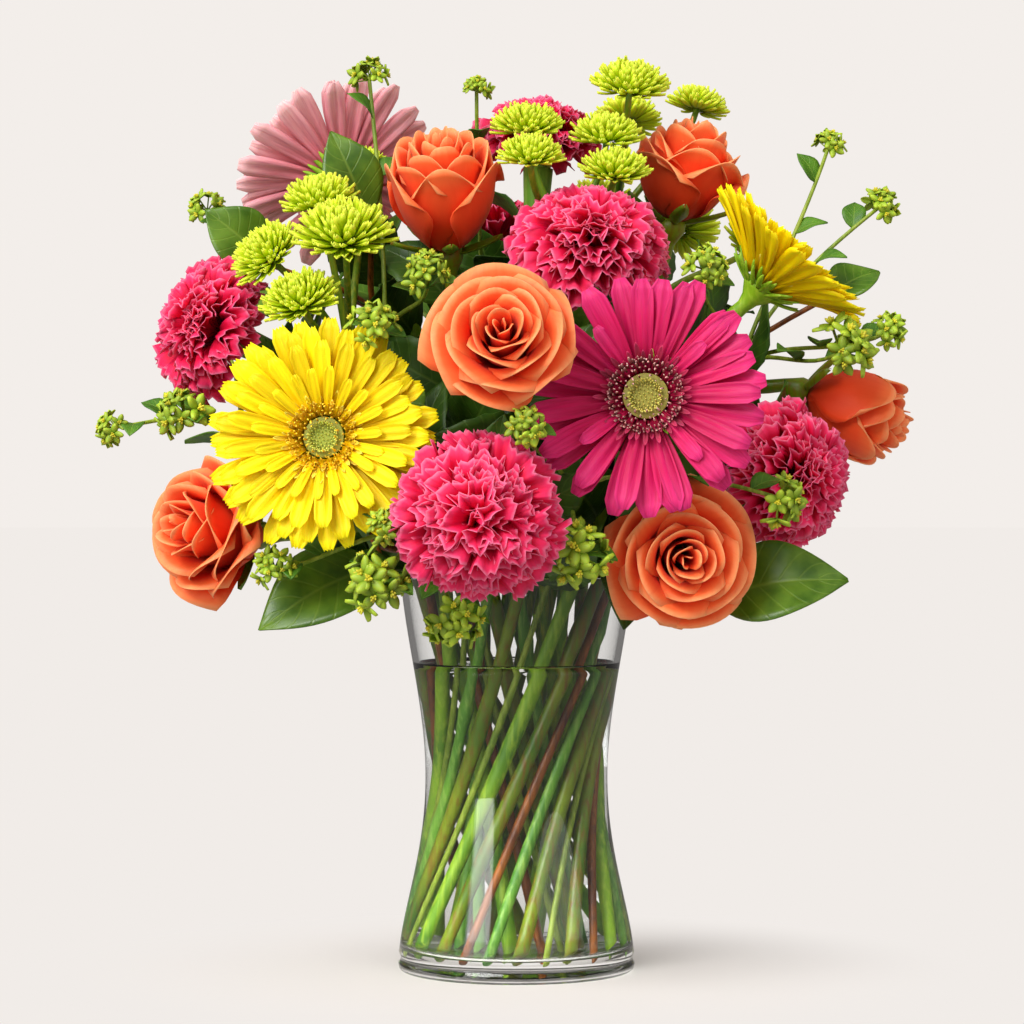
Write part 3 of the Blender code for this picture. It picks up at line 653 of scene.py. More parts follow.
def gerbera_eye(name, radius, finish):
    """Buds in the middle, open florets round them and a fringe over the rays."""
    buds = petal_set(name + "_source_buds",
                     [bud(f"{name}_bud_{k}", (2.2 + 0.3 * k) * MM, 0.95 * MM) for k in range(2)])
    florets = petal_set(name + "_source_florets",
                        [floret(f"{name}_floret_{k}", (4.4 + 0.5 * k) * MM, 1.0 * MM, 0.5 + 0.3 * k)
                         for k in range(3)])
    fringe = petal_set(name + "_source_fringe",
                       [floret(f"{name}_fringe_{k}", (7.5 + k) * MM, 2.0 * MM, 0.3) for k in range(2)])
    shared = {"Turn": GOLDEN_TURN, "Loose_Turn": 0.05, "Material": finish}
    middle = whorl(name + "_middle", Petals=buds, Count=110, Crowding=0.5, Radius_Out=radius * 0.42,
                   Height_In=0.8 * MM, Height_Out=2.0 * MM, Lift_In=90, Lift_Out=66, Size_In=0.55,
                   Size_Out=1.0, Loose_Lift=5, Loose_Size=0.1, Seed=3, **shared)
    open_ring = whorl(name + "_open", Petals=florets, Count=190, Crowding=0.6, Radius_In=radius * 0.40,
                      Radius_Out=radius * 0.92, Height_In=2.4 * MM, Height_Out=2.0 * MM, Lift_In=72,
                      Lift_Out=36, Size_In=0.8, Size_Out=1.0, Loose_Lift=10, Loose_Size=0.15, Seed=5,
                      **shared)
    outer = whorl(name + "_fringe", Petals=fringe, Count=46, Crowding=1.0, Radius_In=radius * 0.8,
                  Radius_Out=radius * 0.95, Height_In=2.2 * MM, Height_Out=1.6 * MM, Lift_In=42, Lift_Out=22,
                  Size_In=0.8, Size_Out=1.05, Loose_Lift=7, Loose_Size=0.15, Seed=7, **shared)
    for part, low, high in ((middle, 0.0, 0.4), (open_ring, 0.45, 0.75), (outer, 0.9, 1.0)):
        rows = part.data.attributes["row"]
        values = np.zeros(len(rows.data))
        rows.data.foreach_get("value", values)
        rows.data.foreach_set("value", low + (high - low) * values)
    discard(buds, florets, fringe)
    return joined(name, [middle, open_ring, outer, receptacle(name + "_cushion", radius)])


def receptacle(name, radius):
    """The cushion that the florets or fans stand on, which closes the view between them."""
    v, a = np.meshgrid(np.linspace(0, 1, 8), np.linspace(0, 2 * np.pi, 33), indexing="ij")
    r = radius * 0.62 * np.sin(v * np.pi * 0.62)
    z = 0.6 * MM + 0.5 * MM * np.cos(v * np.pi * 0.62)
    cap = np.stack([r * np.cos(a), r * np.sin(a), z], -1)
    foot = np.stack([0 * a[:1], 0 * a[:1], 0 * a[:1] + 0.2 * MM], -1)
    return welded(sheets(name, [np.concatenate([cap, foot])]))


for name, bloom in blooms.items():
    if bloom["kind"] == "gerbera":
        radius = 14.0 * MM if shade_of(name) == "yellow" else 15.5 * MM
        eye = gerbera_eye(name + "_eye", radius, eye_finish[shade_of(name)])
        place(eye, bloom["base"] + bloom["facing"] * EYE_LIFT, bloom["facing"])
        finish_piece(eye, eye_finish[shade_of(name)], [name + "_disc"])
        print(eye.name, len(eye.data.polygons), "faces")

# %% [markdown]
# ## Glass and water
#
# The vase is one line turned about the axis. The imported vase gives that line's few corners, and a smooth
# curve through them gives the real flank. A thick foot with a rounded edge and a hollowed underside bends the
# light into the rings seen at the bottom. The water is its own body. It overlaps the glass by a hair, so that
# no false film of air is left between them, and its edge climbs the wall in a small meniscus.

# %% Vase and water
def flank_lines():
    """Smooth outer and inner radius of the vase at a height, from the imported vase's corners."""
    points = corners("vase")
    radius = np.hypot(points[:, 0], points[:, 1])
    heights = np.unique(np.round(points[:, 2], 5))
    outer = [(h, radius[np.abs(points[:, 2] - h) < 1e-5].max()) for h in heights if h > 3 * MM]
    inner = [(h, radius[np.abs(points[:, 2] - h) < 1e-5].min()) for h in heights if h > 11 * MM]
    outer = [(h, r) for h, r in outer if r > 40 * MM]
    curve = np.polynomial.Polynomial.fit(*np.array(outer).T, 6)
    wall = float(np.median([curve(h) - r for h, r in inner if h < 170 * MM]))
    return curve, wall, float(points[:, 2].max())


outer_radius, WALL, RIM_HEIGHT = flank_lines()
FLOOR_HEIGHT = 9.0 * MM
WATER_HEIGHT = 137.0 * MM
SEGMENTS = 96


def arc(cx, cz, radius, start, end, steps=5):
    """Points on a quarter-round between two angles in degrees."""
    return [(cx + radius * math.cos(math.radians(a)), cz + radius * math.sin(math.radians(a)))
            for a in np.linspace(start, end, steps)]


def lathe(name, profile):
    """A closed solid turned from (radius, height) points whose ends lie on the axis."""
    profile = np.array(profile)
    angle = np.linspace(0, 2 * np.pi, SEGMENTS + 1)
    grid = np.stack([profile[:, :1] * np.cos(angle), profile[:, :1] * np.sin(angle),
                     np.repeat(profile[:, 1:], len(angle), axis=1)], -1)
    return welded(sheets(name, [grid]), 0.001 * MM)


def wall_line(offset, low, high, steps):
    """The flank from one height to another, moved in from the outside by the offset."""
    return [(outer_radius(z) - offset, z) for z in np.linspace(low, high, steps)]


def vase_profile():
    """The glass from under its foot, up the outside, over the rim and down the inside."""
    foot = outer_radius(4 * MM) - 0.2 * MM
    punt = [(0.0, 2.2 * MM), (foot * 0.5, 2.0 * MM), (foot * 0.82, 0.7 * MM), (foot * 0.88, 0.0)]
    edge = [(foot - 2.4 * MM, 0.0)] + arc(foot - 2.4 * MM, 2.4 * MM, 2.4 * MM, -75, 0)
    step = [(foot + 0.1 * MM, 3.6 * MM), (foot - 0.7 * MM, 4.6 * MM), (foot - 1.1 * MM, 6.0 * MM)]
    outside = wall_line(0.0, 8.5 * MM, RIM_HEIGHT - 1.6 * MM, 34)
    lip = outer_radius(RIM_HEIGHT) - WALL / 2
    rim = arc(lip, RIM_HEIGHT - 1.4 * MM, WALL / 2, 0, 180, 9)
    inside = wall_line(WALL, RIM_HEIGHT - 1.8 * MM, FLOOR_HEIGHT + 5 * MM, 32)
    corner = inside[-1][0]
    basin = [(corner - 1.0 * MM, FLOOR_HEIGHT + 2.6 * MM), (corner - 4 * MM, FLOOR_HEIGHT + 0.8 * MM),
             (corner - 11 * MM, FLOOR_HEIGHT), (0.0, FLOOR_HEIGHT - 0.6 * MM)]
    return punt + edge + step + outside + rim + inside + basin


def water_profile():
    """The water from the vase's floor up the wall to the meniscus and its surface."""
    hair = 0.15 * MM
    inside = wall_line(WALL - hair, FLOOR_HEIGHT + 5 * MM, WATER_HEIGHT + 1.9 * MM, 30)
    corner = inside[0][0]
    basin = [(0.0, FLOOR_HEIGHT - 0.6 * MM - hair), (corner - 11 * MM, FLOOR_HEIGHT - hair),
             (corner - 4 * MM + hair, FLOOR_HEIGHT + 0.8 * MM - hair),
             (corner - 1.0 * MM + hair, FLOOR_HEIGHT + 2.6 * MM)]
    edge = inside[-1][0]
    surface = [(edge - 0.5 * MM, WATER_HEIGHT + 1.1 * MM), (edge - 1.4 * MM, WATER_HEIGHT + 0.4 * MM),
               (edge - 3.2 * MM, WATER_HEIGHT), (0.0, WATER_HEIGHT)]
    return basin + inside + surface


def clear_material(name, colour, ior):
    """A clear body. Shadow rays pass it, so that light reaches what it holds without caustics."""
    made, tree, shader = new_material(name)
    feed(tree, shader,
         {"Base Color": linear(colour), "Roughness": 0.0, "IOR": ior, "Transmission Weight": 1.0})
    shadow = add(tree, "ShaderNodeLightPath").outputs["Is Shadow Ray"]
    through = add(tree, "ShaderNodeBsdfTransparent", [linear(colour)])
    chosen = add(tree, "ShaderNodeMixShader", [shadow, shader, through])
    feed(tree, tree.nodes["Material Output"], {"Surface": chosen})
    return made


soda_glass = clear_material("soda_lime_glass", "FDFEFE", 1.5)
clean_water = clear_material("clean_water", "FDFEFD", 1.333)
vase = finish_piece(lathe("vase_glass", vase_profile()), soda_glass, ["vase"])
water = finish_piece(lathe("water", water_profile()), clean_water)
print("vase wall", round(WALL / MM, 2), "mm,", len(vase.data.polygons), "faces")

# %% [markdown]
# ## Stems
#
# Every stem in the frame starts straight, from the vase's floor through the waist, then bends to its bloom.
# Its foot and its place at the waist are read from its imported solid, and the same curve is drawn again with
# a round section, a little wander in its thickness, the joints of its kind, and a slanted cut at the foot.

# %% Stem routes
WAIST_HEIGHT = 88 * MM
RING_SPLIT = 20 * MM  # a stem further out than this at the waist is of the outer ring
ABOVE_FOOT, NEAR_AXIS = 60 * MM, 60 * MM  # where a stem's next corners above its foot are looked for
BEND_HEIGHT = {"outer": 180 * MM, "inner": 190 * MM}
STEM_BEND, TWIG_BEND, TWIG_WIDTH = 0.42, 0.35, 0.72
JOINT_LENGTH = 2.2 * MM
STEM_RADIUS = {"gerbera": 3.2 * MM, "rose": 3.0 * MM, "carnation": 2.3 * MM, "button": 2.3 * MM,
               "thorow_wax": 1.4 * MM, "leaf": 1.9 * MM}


def cubic(p0, p1, p2, p3, steps):
    """Points on a cubic curve from p0 to p3 that leaves towards p1 and arrives from p2."""
    return [p0 * (1 - t) ** 3 + p1 * (3 * t * (1 - t) ** 2) + p2 * (3 * t * t * (1 - t)) + p3 * t ** 3
            for t in np.linspace(0, 1, steps + 1)]


def straight_part(node):
    """Foot and mouth of a stem: the two ends of its straight stretch."""
    points = corners(node)
    foot = Vector(points[points[:, 2] < 16 * MM].mean(0))
    above = points[(points[:, 2] > ABOVE_FOOT) & (np.hypot(*points[:, :2].T) < NEAR_AXIS)]
    higher = Vector(above[np.argsort(above[:, 2])[:6]].mean(0))
    slope = (higher - foot) / (higher.z - foot.z)
    waist = foot + slope * (WAIST_HEIGHT - foot.z)
    ring = "outer" if waist.xy.length > RING_SPLIT else "inner"
    return foot, foot + slope * (BEND_HEIGHT[ring] - foot.z), slope.normalized()


def route_to(node, base, arrive):
    """Points along a stem: straight from foot to mouth, then in a bend that arrives at its base."""
    foot, mouth, slope = straight_part(node)
    reach = (base - mouth).length * STEM_BEND
    line = [foot.lerp(mouth, t) for t in np.linspace(0, 0.97, 16)]
    return line + cubic(mouth, mouth + slope * reach, base - arrive * reach, base, 22)


def tube(name, points, widths, sides=12, cut=0.0):
    """A closed round tube. cut slants its first end; widths are radii."""
    points = [Vector(p) for p in points]
    side = Vector((0, 0, 1)).cross(points[1] - points[0])
    side = side.normalized() if side.length > 1e-6 else Vector((1, 0, 0))
    rings = []
    for i, point in enumerate(points):
        along = (points[min(i + 1, len(points) - 1)] - points[max(i - 1, 0)]).normalized()
        side = (side - along * side.dot(along)).normalized()
        other = along.cross(side)
        ring = []
        for a in np.linspace(0, 2 * math.pi, sides + 1):
            slant = cut * widths[i] * (1 - math.cos(a)) if i == 0 else 0.0
            ring.append(point + (side * math.cos(a) + other * math.sin(a)) * widths[i] + along * slant)
        rings.append(ring)
    ends = [[sum(ring[:-1], Vector()) / sides] * (sides + 1) for ring in (rings[0], rings[-1])]
    return welded(sheets(name, [np.array([ends[0], *rings, ends[1]])]), 0.002 * MM)


def stem_widths(points, radius, swell, every, seed):
    """Radii along a stem: a slow wander, and a joint that stands out at every given length."""
    rng = np.random.default_rng(seed)
    walked = np.concatenate([[0], np.cumsum([(b - a).length for a, b in zip(points, points[1:])])])
    wander = 1 + 0.05 * np.sin(walked * 60 + rng.random() * 6)
    spots = np.arange(rng.random() * every, walked[-1], every)
    joints = sum(np.exp(-((walked - spot) / JOINT_LENGTH) ** 2) for spot in spots)
    return radius * (wander + swell * joints)


# %% [markdown]
# The skin of a stem is green, dull and faintly streaked along its length. A gerbera's scape is downy, a
# carnation's is blue-green with a waxy bloom, and the leaf branches have turned to brown wood with pores.

# %% Stem skins
def stem_skin(name, dark, light, streak, rough=0.5, bump=0.2, wood=False):
    """Plant skin: streaks on soft blotches. The scales are to the metre: a streak is 2 mm across, split
    finer by its detail, and 33 mm long. A blotch is 38 mm across, or 24 mm on wood."""
    made, tree, shader = new_material(name)
    spot = add(tree, "ShaderNodeTexCoord").outputs["Object"]
    drawn = add(tree, "ShaderNodeMapping", {"Vector": spot, "Scale": (520.0, 520.0, 30.0)})
    streaks = add(tree, "ShaderNodeTexNoise", {"Vector": drawn, "Scale": 1.0, "Detail": 3.0})
    blotch = add(tree, "ShaderNodeTexNoise", {"Vector": spot, "Scale": 42.0 if wood else 26.0, "Detail": 2.0})
    body = add(tree, "ShaderNodeValToRGB", [blotch], [(0.34, dark), (0.66, light)])
    share = add(tree, "ShaderNodeMapRange",
                {"Value": streaks, "From Min": 0.45, "From Max": 0.75, "To Max": 0.8})
    streaked = add(tree, "ShaderNodeMix", {0: share, 6: body, 7: linear(streak)}, data_type="RGBA")
    feed(tree, shader, {
        "Base Color": streaked.outputs[2],
        "Normal": add(tree, "ShaderNodeBump", {"Height": streaks, "Strength": bump, "Distance": 0.3 * MM}),
        "Roughness": add(tree, "ShaderNodeMapRange",
                         {"Value": blotch, "To Min": rough - 0.1, "To Max": rough + 0.12}),
        "Subsurface Weight": 0.0 if wood else 0.15, "Subsurface Radius": (0.5, 1.0, 0.2),
        "Subsurface Scale": 1.0 * MM})
    return made


SKINS = {
    "gerbera": stem_skin("gerbera_scape_skin", "4E8608", "93C016", "BCD840", 0.52),
    "rose": stem_skin("rose_stem_skin", "3E6C08", "8C9C12", "8A4A10", 0.36),
    "carnation": stem_skin("carnation_stem_skin", "3C7C1C", "7AB42E", "A8CC5C", 0.48),
    "button": stem_skin("button_stem_skin", "3C6A08", "80A012", "A8A826", 0.46),
    "thorow_wax": stem_skin("thorow_wax_stem_skin", "5E7A12", "8FA624", "B4C24A", 0.5),
    "leaf": stem_skin("woody_branch_bark", "5A2608", "A85E12", "2C1206", 0.4, 0.5, wood=True),
}

# A calyx is a list of millimetres below the bloom, with the width there as a share of the stem's.
CALYX = {"gerbera": [(12, 1.0), (8, 1.35), (4, 2.3), (0, 3.2)],
         "rose": [(12, 1.0), (9, 1.5), (5, 2.1), (0, 2.0)],
         "carnation": [(30, 1.0), (26, 1.9), (18, 2.5), (8, 2.8), (0, 3.0)]}
# How far the joints stand out, as a share of the stem's radius, and how far apart they are.
JOINTS = {"gerbera": (0.0, 1.0), "rose": (0.18, 55 * MM), "carnation": (0.55, 62 * MM)}


def sepals(name, bloom, kind):
    """The green leaves under a bloom: a gerbera's bracts, a rose's five sepals, a carnation's teeth."""
    count, length, width, lift, radius = {"gerbera": (34, 15, 2.6, 17, 7), "rose": (5, 24, 7, 12, 4.5),
                                          "carnation": (6, 12, 5, 74, 5.4)}[kind]
    source = petal_set(name + "_source",
                       [floret(f"{name}_leaf_{k}", length * MM, width * MM, 0.25) for k in range(2)])
    turn = GOLDEN_TURN if kind == "gerbera" else 2 * math.pi / count
    ring = whorl(name, Petals=source, Count=count, Turn=turn, Crowding=1.0, Radius_In=radius * MM * 0.7,
                 Radius_Out=radius * MM, Height_In=-4.0 * MM, Height_Out=-1.5 * MM, Lift_In=lift,
                 Lift_Out=lift + 4, Loose_Turn=0.08, Loose_Lift=6, Loose_Size=0.1, Seed=9,
                 Material=SKINS[kind])
    discard(source)
    return place(ring, bloom["base"], bloom["facing"])


for k, (name, bloom) in enumerate(blooms.items()):
    kind, facing = bloom["kind"], bloom["facing"]
    radius = STEM_RADIUS[kind]
    widening = CALYX[kind]
    points = route_to(bloom["stem"], bloom["base"], facing)
    points = [p for p in points if (bloom["base"] - p).length > (widening[0][0] + 3) * MM]
    widths = list(stem_widths(points, radius, *JOINTS[kind], seed=k))
    points += [bloom["base"] - facing * below * MM for below, _ in widening]
    widths += [radius * width for _, width in widening]
    stem = tube(name + "_stalk", points, widths, cut=0.9)
    stem = joined(name + "_stalk", [stem, sepals(name + "_sepals", bloom, kind)])
    finish_piece(stem, SKINS[kind], [bloom["stem"]])
print(len(blooms), "stems drawn")

# %% [markdown]
# ## Roses
#
# A rose is a cup of overlapping petals, each wrapped part of the way round the axis and turned by the golden
# angle from the one before, so that every lip shows between two others. The inner ones are tall, narrow and
# rolled tight. Outwards they widen and open, and their lips curl back. One function draws a petal at its
# share of the way out, and how open the rose is decides how far the lips lean and fall.

# %% Rose petals
ROSE_PETALS = 28
ROSE_THICKNESS = 0.4 * MM


def rose_petal(share, turn, radius, height, openness, rng, rows=11, columns=13):
    """One wrapped petal: rows from foot to lip, columns round the axis."""
    v, u = np.meshgrid(np.linspace(0, 1, rows), np.linspace(-1, 1, columns), indexing="ij")
    lip_radius = radius * (0.05 + 0.72 * share ** (1.05 - 0.15 * openness))
    lip_height = height * (1.0 - (0.12 + 0.34 * openness) * share ** 1.8 - 0.04 * (1 - share) ** 4)
    lip_height = lip_height * rng.uniform(0.95, 1.02)
    half_width = (1.65 - 0.62 * share ** 0.7) * (0.50 + 0.50 * np.sin(np.clip(v * 1.4, 0, 1) * np.pi / 2))
    half_width = half_width * (1 - 0.42 * np.clip((v - 0.6) / 0.4, 0, 1) ** 2)
    outline = 1 - (0.10 + 0.18 * share) * np.abs(u) ** 2.2
    belly = np.sin(np.clip(v * (1.62 - 0.62 * share * openness), 0, 1.75) * np.pi / 2 * 0.86)
    foot = 0.16 * radius
    r = foot + (lip_radius - foot) * belly ** 0.8 if lip_radius > foot else lip_radius * (0.5 + 0.5 * v)
    z = lip_height * outline * v ** (0.92 + 0.25 * share)
    start = 0.80 - 0.28 * share * openness
    curl = np.clip((v - start) / (1 - start), 0, 1) ** 1.7 * min(1.0, 1.6 * share) ** 0.8
    curl = curl * (0.9 + 0.15 * np.abs(u) ** 1.6) * rng.uniform(0.75, 1.2)
    r = r + curl * radius * (0.06 + 0.20 * openness) * (0.7 + 0.5 * share)
    z = z - curl * height * (0.03 + 0.10 * openness) * share
    r = r * (1 + 0.07 * u * (1 - 0.5 * share)) + 0.012 * radius * np.sin(3.1 * u + 6 * rng.random()) * v
    z = z + 0.012 * height * np.sin(4 * u + 6 * rng.random()) * v ** 3
    angle = turn + u * half_width + 0.05 * np.sin(5 * v + turn)
    return np.stack([r * np.cos(angle), r * np.sin(angle), z], -1)


def rose(name, radius, height, openness, seed):
    """All petals of one rose, each with a tone of its own."""
    rng = np.random.default_rng(seed)
    grids = []
    for k in range(ROSE_PETALS):
        turn = k * GOLDEN_TURN + rng.normal(0, 0.12)
        grids.append(rose_petal(k / (ROSE_PETALS - 1), turn, radius, height, openness, rng))
    tones = np.clip(rng.normal(0.5, 0.22, ROSE_PETALS), 0, 1)
    return sheets(name, grids, tones, ROSE_THICKNESS)


# How open each rose is, from 0, a high tight bud, to 1, flat.
ROSE_OPENNESS = {"rose_crown": 0.25, "rose_centre": 0.95, "rose_low_right": 0.9, "rose_low_left": 0.7,
                 "rose_right": 0.15, "rose_top_right": 0.6, "rose_rear_left": 0.85, "rose_rear_right": 0.55}
for k, (name, openness) in enumerate(ROSE_OPENNESS.items()):
    bloom = blooms[name]
    flower = rose(name + "_petals", bloom["radius"], bloom["height"], openness, 40 + k)
    place(flower, bloom["base"], bloom["facing"], turn=0.7 * k)
    finish_piece(flower, rose_tissue, [bloom["node"]])
    print(flower.name, len(flower.data.polygons), "faces")

# %% [markdown]
# ## Carnations
#
# A carnation packs its calyx full of fan petals, here eighty of them. Each fan is a narrow claw that spreads
# into a wide frill with a saw-toothed edge and deep waves. The whorl tree stands the first ones upright and
# lays the last ones out flat. A crimson cushion at its heart closes the view between them. It is darkest at
# its middle, and that darkness is painted shade.

# %% Carnation petals
def fan_petal(name, length, spread, waves, phase, teeth=12, rows=9):
    """A fan along +X: narrow at its foot, waved and toothed at its edge."""
    v, u = np.meshgrid(np.linspace(0, 1, rows), np.linspace(-1, 1, teeth * 2 + 1), indexing="ij")
    opening = 0.10 + 0.90 * np.clip((v - 0.22) / 0.78, 0, 1) ** 0.75
    bend = u * spread * opening
    reach = length * v
    saw = np.where(np.arange(teeth * 2 + 1) % 2, 0.035, -0.015) * length * np.clip((v - 0.9) / 0.1, 0, 1)
    x = (reach + saw) * (0.35 + 0.65 * np.cos(bend * 0.9))
    y = (reach + saw) * np.sin(bend) * 0.95
    ripple = np.sin(u * np.pi * waves + phase) + 0.45 * np.sin(u * np.pi * waves * 2.3 + 2 * phase)
    z = 0.10 * length * ripple * v ** 2.4 - 0.20 * length * np.clip((v - 0.55) / 0.45, 0, 1) ** 2
    return sheets(name, [np.stack([x, y, z], -1)], thickness=0.24 * MM)


def carnation(name, bloom, seed):
    """Four kinds of fan, dealt out by the whorl tree, with the cushion at the heart."""
    length = bloom["radius"] * 0.77
    fans = petal_set(name + "_fans", [
        fan_petal(f"{name}_fan_{k}", length * (0.94 + 0.04 * k), 0.62 + 0.05 * k, 2.2 + 0.5 * k, 1.7 * k)
        for k in range(4)])
    made = whorl(name + "_frill", Petals=fans, Count=80, Turn=GOLDEN_TURN, Crowding=0.68,
                 Radius_In=0.4 * MM, Radius_Out=3.4 * MM, Height_In=bloom["height"] * 0.20,
                 Height_Out=bloom["height"] * 0.26, Lift_In=106, Lift_Out=0, Size_In=0.86, Size_Out=1.0,
                 Loose_Turn=0.4, Loose_Lift=12, Loose_Size=0.1, Seed=seed, Material=carnation_tissue)
    discard(fans)
    # The cushion takes the petals' tissue, so its middle is near black: painted shade at the heart.
    core = receptacle(name + "_core", 30 * MM)
    core.data.transform(Matrix.Translation((0, 0, bloom["height"] * 0.17)))
    return joined(name, [made, core])


for k, (name, bloom) in enumerate(blooms.items()):
    if bloom["kind"] == "carnation":
        flower = carnation(name + "_petals", bloom, 60 + k)
        place(flower, bloom["base"], bloom["facing"], turn=0.9 * k)
        finish_piece(flower, carnation_tissue, [bloom["node"]])
        print(flower.name, len(flower.data.polygons), "faces")

# %% [markdown]
# ## Where the sprays branch
#
# A spray is one node in the frame, so its branches can't be told apart there. Its forks and ends are listed
# again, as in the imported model, in millimetres: the fork, then the ends. A round end is its place, the way it
# faces and its radius. A leaf end is its foot, its tip, its width and the way its upper side faces.

# %% Branching points
BUTTON_SPRAYS = {
    "button_spray_left": ((-72, -38, 262), [
        ((-73, -95, 326), (-0.05, -0.50, 0.86), 19),
        ((-108, -75, 318), (-0.60, -0.50, 0.60), 15),
        ((-86, -58, 343), (-0.20, -0.30, 0.93), 15),
        ((-92, -96, 298), (-0.25, -0.55, 0.80), 15),
        ((-68, -2, 364), (0.0, -0.30, 0.95), 9),
    ]),
    "button_spray_centre": ((22, -12, 312), [
        ((5, -18, 379), (0.0, -0.25, 0.97), 14.5),
        ((6, -70, 361), (0.0, -0.35, 0.94), 13),
        ((40, -22, 374), (0.05, -0.25, 0.97), 15),
        ((43, -42, 357), (0.05, -0.35, 0.94), 14),
    ]),
    "button_spray_right": ((44, 40, 330), [
        ((51, -8, 398), (0.10, -0.35, 0.93), 16),
        ((84, 44, 394), (0.25, 0.10, 0.96), 13),
        ((52, 66, 390), (0.05, 0.45, 0.90), 14),
    ]),
    "button_spray_rear": ((62, 56, 296), [
        ((78, 92, 342), (0.30, 0.60, 0.74), 17),
        ((40, 92, 352), (0.05, 0.55, 0.83), 15),
        ((112, 58, 330), (0.70, 0.40, 0.60), 15),
    ]),
}

THOROW_WAX = {
    "thorow_wax_left": ((-118, -30, 236), [
        ((-146, -66, 250), (-0.60, -0.60, 0.50), 12),
        ((-176, -62, 243), (-0.85, -0.40, -0.10), 8),
        ((-140, -10, 343), (-0.60, -0.20, 0.77), 9),
        ((-150, 40, 290), (-0.85, 0.35, 0.40), 12),
    ]),
    "thorow_wax_low_left": ((-38, -84, 196), [
        ((-58, -130, 178), (-0.20, -0.95, 0.20), 14),
        ((-27, -104, 160), (0.0, -0.75, -0.65), 12),
        ((-54, -144, 202), (-0.10, -0.95, 0.30), 8),
        ((-103, -106, 184), (-0.40, -0.88, 0.20), 9),
    ]),
    "thorow_wax_low_right": ((20, -72, 208), [
        ((26, -128, 190), (0.10, -0.95, 0.20), 14),
        ((4, -154, 243), (0.20, -0.93, 0.35), 9),
        ((113, -108, 212), (0.60, -0.45, -0.20), 11),
    ]),
    "thorow_wax_centre": ((-58, -34, 276), [
        ((-38, -108, 309), (-0.10, -0.70, 0.70), 10),
        ((-60, -128, 286), (-0.10, -0.80, 0.60), 10),
        ((-66, -10, 402), (-0.10, 0.0, 1.0), 9),
    ]),
    "thorow_wax_right": ((98, 16, 262), [
        ((81, -86, 312), (0.15, -0.75, 0.65), 10),
        ((143, -62, 278), (0.55, -0.70, 0.45), 14),
        ((164, -42, 286), (0.80, -0.40, 0.45), 9),
        ((143, 24, 374), (0.30, -0.20, 0.93), 8),
        ((167, 22, 346), (0.75, -0.20, 0.60), 9),
    ]),
    "thorow_wax_rear": ((-14, 84, 250), [
        ((-50, 142, 205), (-0.30, 0.93, 0.10), 13),
        ((-14, 138, 262), (-0.10, 0.95, 0.30), 13),
        ((-18, 6, 398), (0.0, -0.20, 1.0), 7),
        ((-60, 120, 318), (-0.35, 0.75, 0.55), 12),
        ((66, 112, 206), (0.35, 0.92, 0.10), 13),
    ]),
}

LEAF_SPRAYS = {
    "leaf_spray_right": ((84, -44, 190), [
        ((84, -76, 170), (141, -88, 178), 38, (0.0, -0.85, 0.50)),
        ((66, -58, 262), (92, -82, 246), 26, (-0.2, -0.85, 0.40)),
    ]),
    "leaf_spray_left": ((-66, -48, 198), [
        ((-58, -72, 184), (-109, -96, 157), 38, (-0.10, -0.85, 0.50)),
        ((-112, 14, 226), (-152, 30, 238), 38, (-0.20, 0.20, 0.96)),
        ((-58, -70, 256), (-44, -100, 242), 28, (0.1, -0.85, 0.50)),
    ]),
    "leaf_spray_upper_left": ((-62, -2, 292), [
        ((-66, -27, 337), (-82, -31, 374), 27, (0.1, -0.95, 0.25)),
        ((-112, -14, 318), (-138, -22, 340), 28, (-0.3, -0.80, 0.50)),
        ((-112, 44, 296), (-148, 74, 308), 34, (-0.5, 0.30, 0.80)),
    ]),
    "leaf_spray_rear": ((26, 66, 190), [
        ((48, 98, 190), (84, 138, 178), 38, (0.2, 0.60, 0.75)),
        ((-44, 94, 184), (-88, 128, 174), 38, (-0.3, 0.60, 0.75)),
        ((143, 26, 304), (167, 36, 316), 24, (-0.30, -0.70, 0.60)),
    ]),
}


# %% [markdown]
# ## Button chrysanthemums
#
# A button is a flat dome of short spoon-shaped petals, well over a hundred of them, packed from a tight
# green middle to a pale rim. It is the gerbera's rule again with other sizes.

# %% Sprays and buttons
def spoon(name, length, width):
    """A short petal with a rounded, cupped tip."""
    v, u = np.meshgrid(np.linspace(0, 1, 6), np.linspace(-1, 1, 5), indexing="ij")
    half = width / 2 * np.array([0.45, 0.7, 0.95, 1.0, 0.8, 0.3])[:, None]
    z = 0.35 * width * u ** 2 * v + 0.22 * length * v ** 2
    return sheets(name, [np.stack([v * length, u * half, z], -1)], thickness=0.3 * MM)


def spray_heading(fork, ends):
    """The way a trunk arrives at its fork: halfway between upright and the middle of its ends."""
    middle = sum(ends, Vector()) / len(ends)
    return ((middle - fork).normalized() + Vector((0, 0, 1))).normalized()


def twig(name, fork, trunk, end, arrive, radius):
    """A twig's line and its tube, from just inside the trunk's end."""
    reach = (end - fork).length * TWIG_BEND
    line = cubic(fork - trunk * radius, fork + trunk * reach, end - arrive * reach, end, 14)
    return line, tube(name, line, np.linspace(radius * 1.1, radius * 0.85, len(line)), sides=8)


def spray_stems(name, kind, fork, ends):
    """Trunk and twigs of a spray. Ends are (place, the way the twig arrives)."""
    radius = STEM_RADIUS[kind]
    rise = spray_heading(fork, [tip for tip, _, _ in ends])
    line = route_to(name, fork, rise)
    trunk = tube(name + "_trunk", line, stem_widths(line, radius, 0.16, 48 * MM, len(name)), cut=0.8)
    twigs = [twig(f"{name}_twig_{k}", fork, rise, foot, arrive, radius * TWIG_WIDTH)
             for k, (_, foot, arrive) in enumerate(ends)]
    return [t[0] for t in twigs], joined(name + "_stems", [trunk, *[t[1] for t in twigs]])


def metres(point):
    """A place given in millimetres."""
    return Vector(point) * MM


